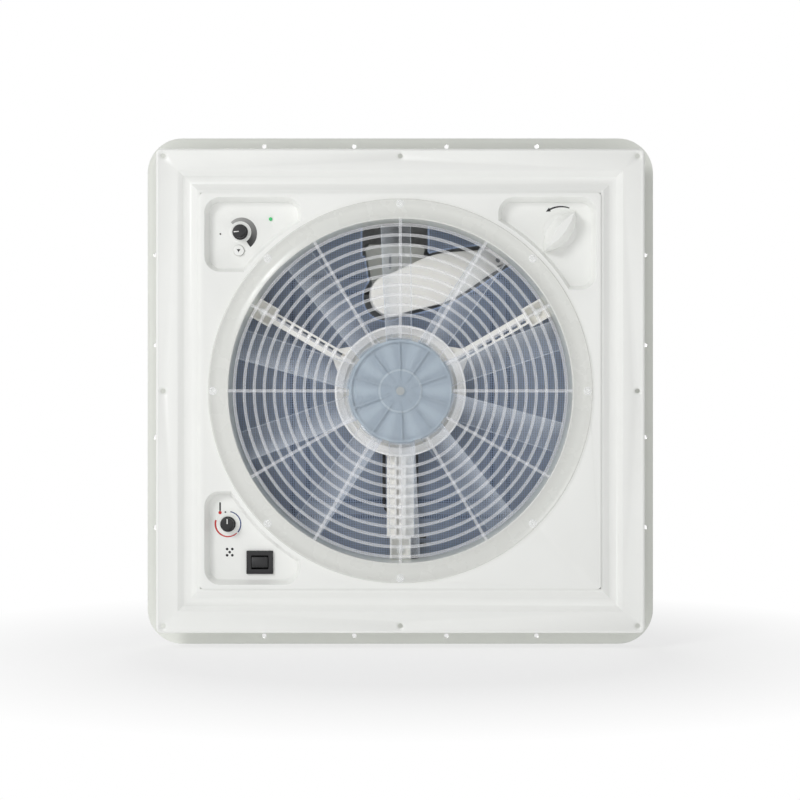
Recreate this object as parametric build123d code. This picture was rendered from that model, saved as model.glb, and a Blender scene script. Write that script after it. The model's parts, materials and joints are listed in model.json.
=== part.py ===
from build123d import *
import os
from math import asin, atan2, cos, degrees, floor, hypot, pi, radians, sin, sqrt

# A caravan roof vent for a square roof cut-out: a roof frame with a hinged dome, and inside it
# a fan in a duct, an insect net, a white trim frame with a clear grille, and the controls.
# Sizes are in millimetres. +Z points out of the roof and z = 0 is the roof's outer surface.
# The origin is the centre of the cut-out. The dome's hinge is at +Y, the opening knob at +X, -Y.

# Roof and cut-out
roof_cutout = 400.0
roof_thickness = 28.0
cutout_gap = 2.0

# Roof frame
flange_margin = 33.0
flange_thickness = 3.0
flange_corner = 32.0
edge_step_width = 4.0
edge_step_depth = 1.0
neck_wall = 3.0
neck_depth = 24.0
neck_corner = 10.0
ledge_width = 12.0
upstand_width = 404.0
upstand_wall = 3.0
upstand_top = 32.0
roof_hole_radius = 2.1
roof_boss_radius = 4.2
roof_boss_height = 1.5
roof_hole_inset = 7.5
near_hole_offset = 42.5
far_hole_offset = 125.5

# Dome and hinge
dome_width = 436.0
dome_wall = 3.0
dome_low = 8.0
skirt_top = 38.0
link_top = 48.0
dome_levels = 6
dome_top = 78.0
dome_corner = 32.0
plateau_width = 306.0
plateau_corner = 52.0
ridge_width = 210.0
ridge_depth = 233.0
ridge_band = 17.5
ridge_height = 4.5
ridge_shift = 5.0
ridge_corner = 9.0
hinge_y = 208.5
hinge_z = 14.0
hinge_spread = 130.0
hinge_pin_radius = 2.5
hinge_eye_radius = 4.3
ear_width = 8.0
lug_width = 5.0
side_gap = 0.4
running_gap = 0.05
rest_gap = 0.3
opening_angle = 17.0

# Seal
seal_top = 38.0
seal_grip = 5.0
seal_overhang = 1.8

# Trim frame
trim_width = 440.0
trim_depth = 436.0
trim_wall = 2.4
trim_corner = 3.0
trim_outer_corner = 6.0
trim_edge_radius = 2.2
valley_radius = 7.0
trim_border = 19.6
trim_rim_height = 14.0
channel_width = 20.4
channel_depth = 6.0
channel_steep = 9.0
panel_rise = 3.0
trim_hole_radius = 2.2
trim_hole_inset = 6.5
trim_sink_radius = 4.6
trim_sink_depth = 1.4
recess_depth = 11.0
recess_corner = 14.0
recess_edge = 4.0
recess_slope = 18.0
speed_recess_width = 87.0
speed_recess_depth = 67.0
knob_recess_width = 88.0
knob_recess_depth = 83.0
switch_recess_width = 86.0
switch_recess_depth = 84.0

# Grille
grille_radius = 172.5
grille_rim = 18.0
grille_thickness = 2.5
ring_count = 10
ring_first = 68.2
ring_pitch = 8.98
ring_width = 2.6
ring_depth = 2.2
spoke_count = 12
spoke_width = 2.6
disc_radius = 48.5
disc_thickness = 1.8
band_low = 51.3
band_high = 59.0
grille_screw_circle = 168.0
grille_screw_count = 8
small_screw_radius = 1.5
small_head_radius = 3.6
small_head_height = 1.6

# Duct
duct_radius = 155.0
duct_wall = 2.0
duct_plate = 3.0
duct_plate_gap = 2.0
duct_flange = 2.0
duct_boss_radius = 4.4
duct_boss_height = 12.0
duct_corner = 9.0
tab_reach = 18.0
tab_width = 19.2
duct_screw_inset = 5.5
duct_screw_offset = 120.0

# Motor spider
spider_disc = 60.0
spider_web = 2.5
spider_height = 12.0
spider_wall = 1.8
arm_channel_width = 10.5
arm_rail_width = 4.6
arm_thin_rail = 2.0
arm_thin_drop = 2.5
arm_rib_pitch = 9.0
arm_rib_thickness = 3.4
arm_rib_drop = 3.0
spider_gusset = 9.0
foot_width = 19.0
foot_screw_circle = 146.0
foot_end = 153.5
foot_start = 134.0
spider_angles = (-30.0, -150.0, 90.0)
spider_bore = 6.5
tray_width = 25.0
tray_rib_height = 6.0
motor_screw_circle = 20.0

# Motor
motor_radius = 31.0
motor_wall = 1.6
motor_can_height = 31.0
motor_cap_height = 7.0
shaft_radius = 3.0
bush_radius = 5.0
bush_length = 5.0
magnet_thickness = 4.0
magnet_length = 21.0
magnet_angle = 140.0
armature_gap = 0.8
armature_slots = 5
armature_slot_width = 7.0
armature_slot_neck = 2.0
armature_length = 20.0
commutator_radius = 8.0
commutator_length = 3.5

# Fan
fan_radius = 150.0
blade_count = 10
blade_chord = 29.0
blade_thickness = 1.8
blade_root_pitch = 38.0
blade_tip_pitch = 22.0
blade_camber = 2.4
blade_first_angle = -19.6
fan_level = -21.0
hub_radius = 46.5
hub_wall = 2.2
hub_low = -33.0
hub_high = -9.0
hub_face = 2.0
hub_rib_count = 10
hub_rib_height = 2.6
hub_rib_thickness = 1.4
hub_boss_radius = 19.0
hub_boss_height = 1.6
hub_collar_radius = 8.0
hub_collar_length = 16.0
fan_cap_radius = 3.8
fan_cap_height = 2.6

# Net
net_radius = 160.0
net_thickness = 0.6
net_frame_width = 8.0
net_frame_height = 6.0
net_pitch = 23.0
net_strand = 1.2
net_lip = 4.0
net_hem_steps = 22
net_turn_share = 0.5
net_motor_gap = 0.5
net_clip_count = 4
net_clip_width = 12.0
net_clip_reach = 9.0
net_clip_thickness = 1.6
slot_gap = 3.0
bracket_gap = 12.0

# Lift drive: the knob's shaft carries a worm, which drives a toothed sector at the arm's root
knob_x = 144.0
knob_y = -144.0
lift_tip_x = -13.0
lift_tip_y = -87.0
worm_module = 1.5
worm_radius = 6.0
worm_core = 4.3
worm_length = 20.0
sector_teeth = 30
sector_shown = 7
sector_width = 5.0
tooth_root_share = 0.68
tooth_tip_share = 0.24
tooth_root_depth_share = 1.25
sector_hub_radius = 7.0
sector_hub_width = 15.2
pivot_height = 40.0
pivot_pin_radius = 3.0
arm_closed_angle = 13.0
arm_ratio = 2.25
arm_tip_radius = 19.0
arm_belly_width = 45.0
arm_root_width = 15.0
arm_neck_start = 4.0
arm_belly_place = 92.0
arm_low = 6.0
arm_high = 3.0
arm_wall = 2.2
arm_floor = 2.4
arm_rib = 1.8
arm_hole_x = 30.0
arm_hole_y = -2.0
arm_hole_radius = 2.4
arm_slot_length = 6.5
arm_slot_width = 1.7
roller_rise = 7.0
roller_radius = 6.5
roller_width = 10.0
roller_bore = 2.05
roller_steps = 7
roller_ear = 3.0
roller_ear_radius = 3.6
knob_shaft_radius = 4.0
shaft_hole_gap = 1.0
gearbox_low_length = 12.0
gearbox_cover_reach = 7.0
gearbox_long_length = 34.5
gearbox_wall = 3.0
gearbox_foot = 8.0
gearbox_base = 3.0
gearbox_top = 53.0
gearbox_cover_height = 4.0
gearbox_screw_inset = 3.5
thread_hole = 1.0
cover_screw_length = 6.0

# Lift bracket on the dome
bracket_bottom = 22.5
bracket_plate = 3.0
bracket_far_y = -137.0
bracket_near_y = -84.0
bracket_far_width = 56.0
bracket_near_width = 36.0
bracket_chamfer = 4.0
bracket_boss_spacing = 24.0
bracket_boss_inset = 8.0
bracket_x = -5.0
bracket_wall = 2.4
bracket_flare = 4.0
bracket_slit_width = 2.2
bracket_slit_length = 14.0
bracket_slit_gap = 9.0
bracket_slit_y = -121.0
bracket_stripe_width = 16.5
bracket_stripe_depth = 0.7
cam_radius = 38.8
cam_apex = 24.7
cam_start_x = -12.5
cam_start_y = -88.0
cam_end_x = 2.3
cam_end_y = -106.0
cam_apex_run = 7.0
cam_half_width = 10.0
cam_clear_width = 13.5
cam_low = 20.0
cam_high = 28.0
cam_before = 12.0
cam_after = 28.0
bracket_boss_radius = 5.0
bracket_screw_radius = 2.0

# Controls
speed_x = -144.6
speed_y = -143.4
small_knob_radius = 5.8
small_knob_height = 9.0
small_knob_skirt = 1.2
small_shaft_radius = 2.0
collar_radius = 9.0
collar_height = 0.8
button_x = -146.0
button_y = -126.9
button_radius = 4.8
button_height = 2.2
lamp_x = -117.2
lamp_y = -155.3
lamp_radius = 1.6
thermostat_x = -155.6
thermostat_y = 120.3
rocker_x = -126.9
rocker_y = 154.8
rocker_width = 24.0
rocker_depth = 21.0
rocker_bezel = 2.2
rocker_tilt = 7.0
rocker_face = 4.4
pot_body_radius = 8.0
pot_body_height = 6.0
board_thickness = 1.6
board_screw_radius = 1.3
relay_width = 10.0
relay_height = 12.0
relay_inset = 2.0
capacitor_radius = 4.0
capacitor_height = 11.0
chip_width = 8.5
chip_height = 3.0
chip_inset = 4.0

# Opening knob
knob_length = 46.0
knob_width = 20.6
knob_height = 17.0
knob_disc_radius = 15.0
knob_disc_height = 3.0
knob_top_length = 38.0
knob_top_width = 7.0
knob_socket = 8.5
knob_angle = -53.1

# Leads
lead_radius = 1.35
lead_level = 4.45
lead_right_x = 15.0
lead_left_x = 12.1
lead_cross_y = 108.0
lead_meet_y = 131.0
lead_rise_y = 169.0
lead_bend = 9.0
lead_entry = 4.0
lead_slot_gap = 0.4
terminal_y = 184.0
terminal_level = 10.0
terminal_width = 16.0
terminal_depth = 9.0
terminal_height = 9.0
terminal_pitch = 2.0
tie_first_y = 135.0
tie_pitch = 6.0
tie_width = 1.8
tie_gap = 0.1
tie_thickness = 0.7
tie_tail = 7.5

# Places that follow from the sizes above
overrun = 1.0
flange_width = roof_cutout + 2 * flange_margin
neck_width = roof_cutout - 2 * cutout_gap
neck_inner = neck_width - 2 * neck_wall
ledge_opening = neck_width - 2 * ledge_width
upstand_inner = upstand_width - 2 * upstand_wall
roof_hole_line = flange_width / 2 - roof_hole_inset
ledge_top = flange_thickness
plate_top = ledge_top + duct_plate
trim_back = -roof_thickness
trim_front = trim_back - trim_rim_height
panel_front = trim_front - panel_rise
panel_back = panel_front + trim_wall
recess_floor = panel_front + recess_depth
recess_back = recess_floor + trim_wall
panel_width = trim_width - 2 * (trim_border + channel_width)
panel_depth = trim_depth - 2 * (trim_border + channel_width)
grille_front = panel_front - grille_thickness
duct_outer = duct_radius + duct_wall
spider_low = ledge_top - spider_height
motor_top = ledge_top + motor_can_height
net_level = plate_top + net_frame_height
lift_run = hypot(lift_tip_x - knob_x, lift_tip_y - knob_y)
lift_angle = degrees(atan2(lift_tip_y - knob_y, lift_tip_x - knob_x))
sector_radius = worm_module * sector_teeth / 2
gear_distance = sector_radius + worm_radius
arm_length = lift_run - gear_distance
opening_arm_angle = opening_angle * arm_ratio
bracket_top = dome_top - dome_wall


# Plates, rings and posts
def block(x_low, x_high, y_low, y_high, z_low, z_high):
    middle = Pos((x_low + x_high) / 2, (y_low + y_high) / 2, (z_low + z_high) / 2)
    return middle * Box(x_high - x_low, y_high - y_low, z_high - z_low)


def slab(width, depth, corner, low, high):
    return Pos(0, 0, low) * extrude(RectangleRounded(width, depth, corner), high - low)


def post(x, y, radius, low, high):
    return Pos(x, y, (low + high) / 2) * Cylinder(radius, high - low)


def ring(outer, inner, low, high):
    return post(0, 0, outer, low, high) - post(0, 0, inner, low - overrun, high + overrun)


def joined(first, *others):
    whole = first
    for other in others:
        whole = whole + other
    return whole


def circle_places(radius, count, first_angle=0.0):
    turns = [radians(first_angle + 360.0 * index / count) for index in range(count)]
    return [(radius * cos(turn), radius * sin(turn)) for turn in turns]


def corner_places(x, y):
    return [(x, y), (-x, y), (-x, -y), (x, -y)]


# A pan-head screw along Z; the head is below its seat when the shank goes up
def screw(x, y, seat, length, shank, head, head_height, up=True):
    way = 1 if up else -1
    shank_end = seat + way * length
    head_end = seat - way * head_height
    low, high = sorted((seat, shank_end))
    head_low, head_high = sorted((seat, head_end))
    return post(x, y, shank, low, high) + post(x, y, head, head_low, head_high)


def small_screw(x, y, seat, length, up=True):
    return screw(x, y, seat, length, small_screw_radius, small_head_radius, small_head_height, up)


def save(node, shape):
    os.makedirs("parts", exist_ok=True)
    shape.label = node
    export_step(shape, "parts/" + node + ".step")


def group(shapes):
    solids = []
    for shape in shapes:
        solids += list(shape.solids())
    return Compound(children=solids)


# Where the lift drive stands: its X axis runs from the knob's shaft to the arm's tip
def lift_place():
    return Pos(knob_x, knob_y, 0) * Rot(0, 0, lift_angle)


def pivot_place():
    return lift_place() * Pos(gear_distance, 0, pivot_height)


# The roof frame: flange, neck through the roof, upstand under the dome, hinge lugs
def roof_hole_places():
    line = roof_hole_line
    places = []
    for offset in (near_hole_offset, far_hole_offset):
        places += corner_places(offset, line) + corner_places(line, offset)
    return places


def hinge_lugs():
    lugs = []
    for side in (-1, 1):
        for hand in (-1, 1):
            inner = side * hinge_spread + hand * (ear_width / 2 + side_gap)
            outer = inner + hand * lug_width
            low, high = sorted((inner, outer))
            eye = Pos((low + high) / 2, hinge_y, hinge_z) * Rot(0, 90, 0) * Cylinder(hinge_eye_radius, lug_width)
            foot = block(low, high, upstand_width / 2 - upstand_wall, hinge_y + hinge_eye_radius,
                         flange_thickness - overrun, hinge_z)
            lugs.append(eye + foot)
    return lugs


def hinge_bores(length):
    bores = []
    for side in (-1, 1):
        bores.append(Pos(side * hinge_spread, hinge_y, hinge_z) * Rot(0, 90, 0)
                     * Cylinder(hinge_pin_radius + running_gap, length))
    return bores


def make_base_frame():
    flange = slab(flange_width, flange_width, flange_corner, 0, flange_thickness)
    inner_edge = flange_width - 2 * edge_step_width
    step = slab(flange_width + 2 * overrun, flange_width + 2 * overrun, flange_corner, -overrun, edge_step_depth)
    step -= slab(inner_edge, inner_edge, flange_corner - edge_step_width, -2 * overrun, flange_thickness)
    frame = flange - step
    frame += slab(neck_width, neck_width, neck_corner, -neck_depth, flange_thickness)
    frame += slab(upstand_width, upstand_width, neck_corner, 0, upstand_top)
    frame -= slab(neck_inner, neck_inner, neck_corner - neck_wall, -neck_depth - overrun, 0)
    frame -= slab(upstand_inner, upstand_inner, neck_corner - upstand_wall, ledge_top, upstand_top + overrun)
    frame -= slab(ledge_opening, ledge_opening, neck_corner, -overrun, ledge_top + overrun)
    frame = joined(frame, *hinge_lugs())
    frame += [post(x, y, roof_boss_radius, 0, flange_thickness + roof_boss_height) for x, y in roof_hole_places()]
    low, high = -overrun, flange_thickness + roof_boss_height + overrun
    frame -= [post(x, y, roof_hole_radius, low, high) for x, y in roof_hole_places()]
    frame -= hinge_bores(ear_width + 2 * side_gap + 2 * lug_width + 2 * overrun)
    frame -= [post(x, y, small_screw_radius, ledge_top - duct_plate - overrun, ledge_top + overrun)
              for x, y in duct_screw_places()]
    return frame


def make_hinge_pins():
    length = ear_width + 2 * side_gap + 2 * lug_width
    pins = []
    for side in (-1, 1):
        pin = Pos(side * hinge_spread, hinge_y, hinge_z) * Rot(0, 90, 0) * Cylinder(hinge_pin_radius, length)
        pins.append(pin)
    return group(pins)


def make_dome_seal():
    low = upstand_top - seal_grip
    outer = upstand_width + 2 * seal_overhang
    inner = upstand_inner - 2 * seal_overhang
    seal = slab(outer, outer, neck_corner + seal_overhang, low, seal_top)
    seal -= slab(inner, inner, neck_corner - upstand_wall - seal_overhang, low - overrun, seal_top + overrun)
    grip = slab(upstand_width, upstand_width, neck_corner, low - overrun, upstand_top)
    grip -= slab(upstand_inner, upstand_inner, neck_corner - upstand_wall, low - 2 * overrun, upstand_top + overrun)
    return seal - grip


# The dome: a skirt over the upstand, a rounded shoulder and a plateau with a pressed ridge
def dome_level(share, inset):
    turn = radians(90.0 * share)
    reach, rise = (dome_width - plateau_width) / 2, dome_top - skirt_top
    out_x, out_z = rise * cos(turn), reach * sin(turn)
    scale = inset / hypot(out_x, out_z)
    half = plateau_width / 2 + reach * cos(turn) - out_x * scale
    corner = dome_corner + share * (plateau_corner - dome_corner) - inset
    return Pos(0, 0, skirt_top + rise * sin(turn) - out_z * scale) * RectangleRounded(2 * half, 2 * half, corner)


def dome_form(inset):
    width = dome_width - 2 * inset
    low = dome_low - overrun if inset else dome_low
    skirt = slab(width, width, dome_corner - inset, low, skirt_top)
    sections = [dome_level(index / dome_levels, inset) for index in range(dome_levels + 1)]
    return skirt + loft(sections, ruled=True)


def ridge_form(inset, low, high):
    outer = slab(ridge_width - 2 * inset, ridge_depth - 2 * inset, ridge_corner, low, high)
    inner_width = ridge_width - 2 * ridge_band + 2 * inset
    inner_depth = ridge_depth - 2 * ridge_band + 2 * inset
    inner = slab(inner_width, inner_depth, ridge_corner, low - overrun, high + overrun)
    return Pos(0, ridge_shift, 0) * (outer - inner)


def make_dome_shell():
    outer = dome_form(0)
    dome = outer - dome_form(dome_wall)
    dome += ridge_form(0, dome_top - dome_wall / 2, dome_top + ridge_height)
    dome -= ridge_form(dome_wall, bracket_top - overrun, bracket_top + ridge_height)
    land_low = seal_top + rest_gap
    land = slab(upstand_width, upstand_width, neck_corner, land_low, dome_top)
    land -= slab(upstand_inner, upstand_inner, neck_corner - upstand_wall, land_low - overrun, dome_top + overrun)
    dome += land & outer
    ear_inner = upstand_width / 2 + seal_overhang + side_gap
    for side in (-1, 1):
        middle = side * hinge_spread
        eye = Pos(middle, hinge_y, hinge_z) * Rot(0, 90, 0) * Cylinder(hinge_eye_radius, ear_width)
        stem = block(middle - ear_width / 2, middle + ear_width / 2, ear_inner, hinge_y + hinge_eye_radius,
                     hinge_z, link_top)
        link = block(middle - ear_width / 2, middle + ear_width / 2, hinge_y,
                     dome_width / 2 - dome_wall / 2, hinge_z + 3 * hinge_eye_radius, link_top)
        dome += (eye + stem + link) & (outer + eye)
    dome -= hinge_bores(ear_width + 2 * overrun)
    dome -= [post(x, y, bracket_screw_radius, bracket_top - overrun, bracket_top + dome_wall / 2)
             for x, y in bracket_screw_places()]
    return dome


# The trim frame: a folded section run round the border, a flat panel, and three recess cups
def trim_section(half):
    border_end = half - trim_border
    valley = border_end - channel_steep
    panel_edge = border_end - channel_width
    valley_front = trim_front + channel_depth
    points = [
        (half, trim_back), (half, trim_front), (border_end, trim_front),
        (valley, valley_front), (panel_edge, panel_front),
        (panel_edge, panel_back), (valley, valley_front + trim_wall),
        (border_end, trim_front + trim_wall), (half - trim_wall, trim_front + trim_wall),
        (half - trim_wall, trim_back),
    ]
    face = make_face(Polyline([(x, z) for x, z in points], close=True))
    face = fillet(nearest_corner(face, half, trim_front), trim_edge_radius)
    face = fillet(nearest_corner(face, valley, valley_front), valley_radius)
    return Plane.XZ * face


def nearest_corner(face, x, y):
    return sorted(face.vertices(), key=lambda corner: hypot(corner.X - x, corner.Y - y))[0]


def trim_side(half_across, half_along):
    bar = extrude(trim_section(half_across), half_along, both=True)
    reach = trim_border + channel_width + overrun
    corners = [(half_across + overrun, half_along + overrun), (half_across - reach, half_along - reach),
               (half_across - reach, reach - half_along), (half_across + overrun, -overrun - half_along)]
    wedge = Pos(0, 0, panel_front - overrun) * extrude(make_face(Polyline(corners, close=True)), 2 * trim_rim_height,
                                                       dir=(0, 0, 1))
    return bar & wedge


def trim_border_ring():
    sides = [trim_side(trim_width / 2, trim_depth / 2), Rot(0, 0, 90) * trim_side(trim_depth / 2, trim_width / 2)]
    sides += [Rot(0, 0, 180) * side for side in sides]
    return joined(*sides)


def recess_outlines():
    keep_out = Circle(grille_radius + recess_edge)
    x_edge, y_edge = panel_width / 2 - recess_edge, panel_depth / 2 - recess_edge
    spans = [
        (-x_edge, -x_edge + speed_recess_width, -y_edge, -y_edge + speed_recess_depth),
        (x_edge - knob_recess_width, x_edge, -y_edge, -y_edge + knob_recess_depth),
        (-x_edge, -x_edge + switch_recess_width, y_edge - switch_recess_depth, y_edge),
    ]
    outlines = []
    for x_low, x_high, y_low, y_high in spans:
        middle = Pos((x_low + x_high) / 2, (y_low + y_high) / 2)
        outline = middle * RectangleRounded(x_high - x_low, y_high - y_low, recess_corner) - keep_out
        outlines.append(outline)
    return outlines


def trim_hole_places():
    x, y = trim_width / 2 - trim_hole_inset, trim_depth / 2 - trim_hole_inset
    return corner_places(x, y) + [(x, 0), (-x, 0), (0, y), (0, -y)]


def make_interior_trim():
    trim = trim_border_ring() & slab(trim_width, trim_depth, trim_outer_corner, trim_front - overrun, trim_back)
    trim += slab(panel_width, panel_depth, trim_corner, panel_front, panel_back)
    openings = []
    for outline in recess_outlines():
        cup_height = recess_back - panel_front
        cup = Pos(0, 0, panel_front) * extrude(offset(outline, trim_wall), cup_height, taper=recess_slope)
        trim += cup
        openings.append(Pos(0, 0, panel_front) * extrude(outline, recess_depth, taper=recess_slope))
        openings.append(Pos(0, 0, panel_front - overrun) * extrude(outline, overrun, dir=(0, 0, 1)))
    trim -= openings
    low, high = panel_front - overrun, recess_back + overrun
    trim += post(speed_x, speed_y, collar_radius, recess_floor - collar_height, recess_back)
    trim += post(thermostat_x, thermostat_y, collar_radius, recess_floor - collar_height, recess_back)
    trim -= post(0, 0, duct_radius, low, high)
    trim -= [post(x, y, small_screw_radius + running_gap, low, high)
             for x, y in circle_places(grille_screw_circle, grille_screw_count)]
    trim -= post(speed_x, speed_y, small_shaft_radius + rest_gap, low, high)
    trim -= post(thermostat_x, thermostat_y, small_shaft_radius + rest_gap, low, high)
    trim -= post(button_x, button_y, button_radius + rest_gap, low, high)
    trim -= post(lamp_x, lamp_y, lamp_radius, low, high)
    trim -= post(knob_x, knob_y, knob_shaft_radius + rest_gap, low, high)
    trim -= block(rocker_x - rocker_width / 2 + rocker_bezel, rocker_x + rocker_width / 2 - rocker_bezel,
                  rocker_y - rocker_depth / 2 + rocker_bezel, rocker_y + rocker_depth / 2 - rocker_bezel, low, high)
    for x, y in trim_hole_places():
        sink = Pos(x, y, trim_front + trim_sink_depth / 2) * Cone(trim_sink_radius, trim_hole_radius, trim_sink_depth)
        trim -= [sink, post(x, y, trim_hole_radius, trim_front - overrun, trim_front + trim_wall + overrun)]
    return trim


# The duct: a plate on the roof frame's ledge and a cylinder down to the trim
def duct_screw_places():
    line = ledge_opening / 2 + duct_screw_inset
    return corner_places(duct_screw_offset, line) + corner_places(line, duct_screw_offset)


def make_fan_duct():
    plate_width = upstand_inner - 2 * duct_plate_gap
    duct = slab(plate_width, plate_width, duct_corner, ledge_top, plate_top)
    duct += post(0, 0, duct_outer, panel_back, plate_top)
    duct += post(0, 0, grille_radius, panel_back, panel_back + duct_flange)
    screws = circle_places(grille_screw_circle, grille_screw_count)
    duct += [post(x, y, duct_boss_radius, panel_back, panel_back + duct_boss_height) for x, y in screws]
    duct -= post(0, 0, duct_radius, panel_back - overrun, plate_top + overrun)
    for angle in spider_angles:
        tab = block(duct_radius - tab_reach, duct_radius + overrun, -tab_width / 2, tab_width / 2, ledge_top, plate_top)
        duct += Rot(0, 0, angle) * tab
    feet = [foot_screw_place(angle) for angle in spider_angles]
    duct -= [post(x, y, small_screw_radius, ledge_top - overrun, plate_top + overrun) for x, y in feet]
    duct -= [post(x, y, small_screw_radius, panel_back - overrun, panel_back + duct_boss_height - duct_flange)
             for x, y in screws]
    duct -= [post(x, y, small_screw_radius, ledge_top - overrun, plate_top + overrun)
             for x, y in duct_screw_places()]
    duct -= post(knob_x, knob_y, knob_shaft_radius + shaft_hole_gap, ledge_top - overrun, plate_top + overrun)
    slot_low = lead_left_x - lead_radius - lead_slot_gap
    slot_high = lead_right_x + lead_radius + lead_slot_gap
    duct -= block(slot_low, slot_high, duct_radius - tab_reach / 2, terminal_y - 2 * lead_entry, ledge_top - overrun,
                  plate_top + overrun)
    duct -= [lift_place() * post(x, y, small_screw_radius, ledge_top - overrun, plate_top + overrun)
             for x, y in gearbox_foot_places()]
    return duct


def make_duct_screws():
    length = duct_plate + flange_thickness
    return group([small_screw(x, y, plate_top, length, up=False) for x, y in duct_screw_places()])


# The motor spider: a disc on three channel-shaped arms with ladder ribs
def foot_screw_place(angle):
    turn = radians(angle)
    return foot_screw_circle * cos(turn), foot_screw_circle * sin(turn)


def spider_arm():
    half = arm_channel_width / 2
    web_low = ledge_top - spider_web
    start = spider_disc - spider_wall
    arm = block(start, foot_start, arm_rail_width - half, half - arm_thin_rail, web_low, ledge_top)
    count = floor((foot_start - spider_disc) / arm_rib_pitch)
    for index in range(count):
        low = spider_disc + index * arm_rib_pitch
        arm -= block(low + arm_rib_thickness, low + arm_rib_pitch, arm_rail_width - half, half - arm_thin_rail,
                     web_low - overrun, ledge_top + overrun)
    for index in range(1, count + 1):
        low = spider_disc + index * arm_rib_pitch
        arm += block(low, low + arm_rib_thickness, -half + overrun, half - overrun, spider_low + arm_rib_drop, ledge_top)
    arm += block(start, foot_start, -half, arm_rail_width - half, spider_low, ledge_top)
    arm += block(start, foot_start, half - arm_thin_rail, half, spider_low + arm_thin_drop, ledge_top)
    for side in (-1, 1):
        corners = [(start, side * overrun), (spider_disc + spider_gusset, side * half),
                   (start, side * (half + spider_gusset))]
        gusset = make_face(Polyline(corners if side < 0 else corners[::-1], close=True))
        arm += Pos(0, 0, web_low) * extrude(gusset, spider_web, dir=(0, 0, 1))
    foot_half = foot_width / 2
    foot = block(foot_start, foot_end, -foot_half, foot_half, spider_low, ledge_top)
    foot -= block(foot_start + spider_wall, foot_end + overrun, -foot_half + spider_wall, foot_half - spider_wall,
                  spider_low - overrun, web_low)
    return arm + foot


# The lower arm also carries a ladder-shaped tray, with a motor lead along each edge
def lead_tray():
    half = tray_width / 2
    tray = block(spider_disc - spider_wall, foot_start, -half, half, ledge_top - spider_web, ledge_top)
    count = floor((foot_start - spider_disc) / arm_rib_pitch)
    for index in range(1, count):
        middle = spider_disc + index * arm_rib_pitch
        tray += block(middle - arm_rib_thickness / 2, middle + arm_rib_thickness / 2, -half, half,
                      ledge_top - tray_rib_height, ledge_top)
    return tray


def make_motor_spider():
    web_low = ledge_top - spider_web
    spider = post(0, 0, spider_disc, spider_low, ledge_top)
    spider -= post(0, 0, spider_disc - spider_wall, spider_low - overrun, web_low)
    spider += post(0, 0, spider_bore + spider_wall, web_low - spider_wall, ledge_top)
    for angle in spider_angles:
        spider += Rot(0, 0, angle) * spider_arm()
    spider += Rot(0, 0, spider_angles[-1]) * lead_tray()
    spider -= post(0, 0, spider_bore, spider_low - overrun, ledge_top + overrun)
    holes = [foot_screw_place(angle) for angle in spider_angles] + circle_places(motor_screw_circle, 2)
    spider -= [post(x, y, small_screw_radius + running_gap, spider_low - overrun, ledge_top + overrun)
               for x, y in holes]
    return spider


def make_spider_screws():
    seat = ledge_top - spider_web
    length = spider_web + duct_plate
    screws = [small_screw(*foot_screw_place(angle), seat, length) for angle in spider_angles]
    return group(screws)


# The motor on the spider's upper side
def make_motor_can():
    can = post(0, 0, motor_radius, ledge_top, motor_top)
    can -= post(0, 0, motor_radius - motor_wall, ledge_top + motor_wall, motor_top + overrun)
    can -= post(0, 0, bush_radius, ledge_top - overrun, ledge_top + motor_wall + overrun)
    can -= [post(x, y, small_screw_radius, ledge_top - overrun, ledge_top + motor_wall + overrun)
            for x, y in circle_places(motor_screw_circle, 2)]
    return can


def make_motor_cap():
    cap = post(0, 0, motor_radius, motor_top, motor_top + motor_cap_height)
    cap += post(0, 0, motor_radius - motor_wall, motor_top - motor_wall, motor_top)
    cap -= post(0, 0, bush_radius, motor_top - 2 * motor_wall, motor_top + bush_length)
    return cap


def make_motor_bushes():
    low = post(0, 0, bush_radius, ledge_top, ledge_top + bush_length)
    high = post(0, 0, bush_radius, motor_top, motor_top + bush_length)
    bore = post(0, 0, shaft_radius + running_gap, ledge_top - overrun, motor_top + motor_cap_height)
    return group([low - bore, high - bore])


def make_motor_magnets():
    outer = motor_radius - motor_wall
    middle = (ledge_top + motor_top) / 2
    body = ring(outer, outer - magnet_thickness, middle - magnet_length / 2, middle + magnet_length / 2)
    gap_half = outer * sin(radians(90 - magnet_angle / 2))
    gap = block(-outer, outer, -gap_half, gap_half, ledge_top, motor_top)
    return group([body - gap])


def make_motor_screws():
    seat = ledge_top - spider_web
    length = spider_web + motor_wall
    return group([small_screw(x, y, seat, length) for x, y in circle_places(motor_screw_circle, 2)])


def make_motor_armature():
    outer = motor_radius - motor_wall - magnet_thickness - armature_gap
    middle = (ledge_top + motor_top) / 2
    low, high = middle - armature_length / 2, middle + armature_length / 2
    core = post(0, 0, outer, low, high)
    depth = outer - 2 * shaft_radius
    for index in range(armature_slots):
        slot = block(outer - depth + armature_slot_width / 2, outer + overrun, -armature_slot_neck / 2,
                     armature_slot_neck / 2, low - overrun, high + overrun)
        pocket = post(outer - depth + armature_slot_width / 2, 0, armature_slot_width / 2, low - overrun, high + overrun)
        core -= Rot(0, 0, 360.0 * index / armature_slots) * (slot + pocket)
    core += post(0, 0, commutator_radius, high, high + commutator_length)
    return core - post(0, 0, shaft_radius, low - overrun, motor_top)


def make_motor_shaft():
    return post(0, 0, shaft_radius, hub_low, motor_top + bush_length)


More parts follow.
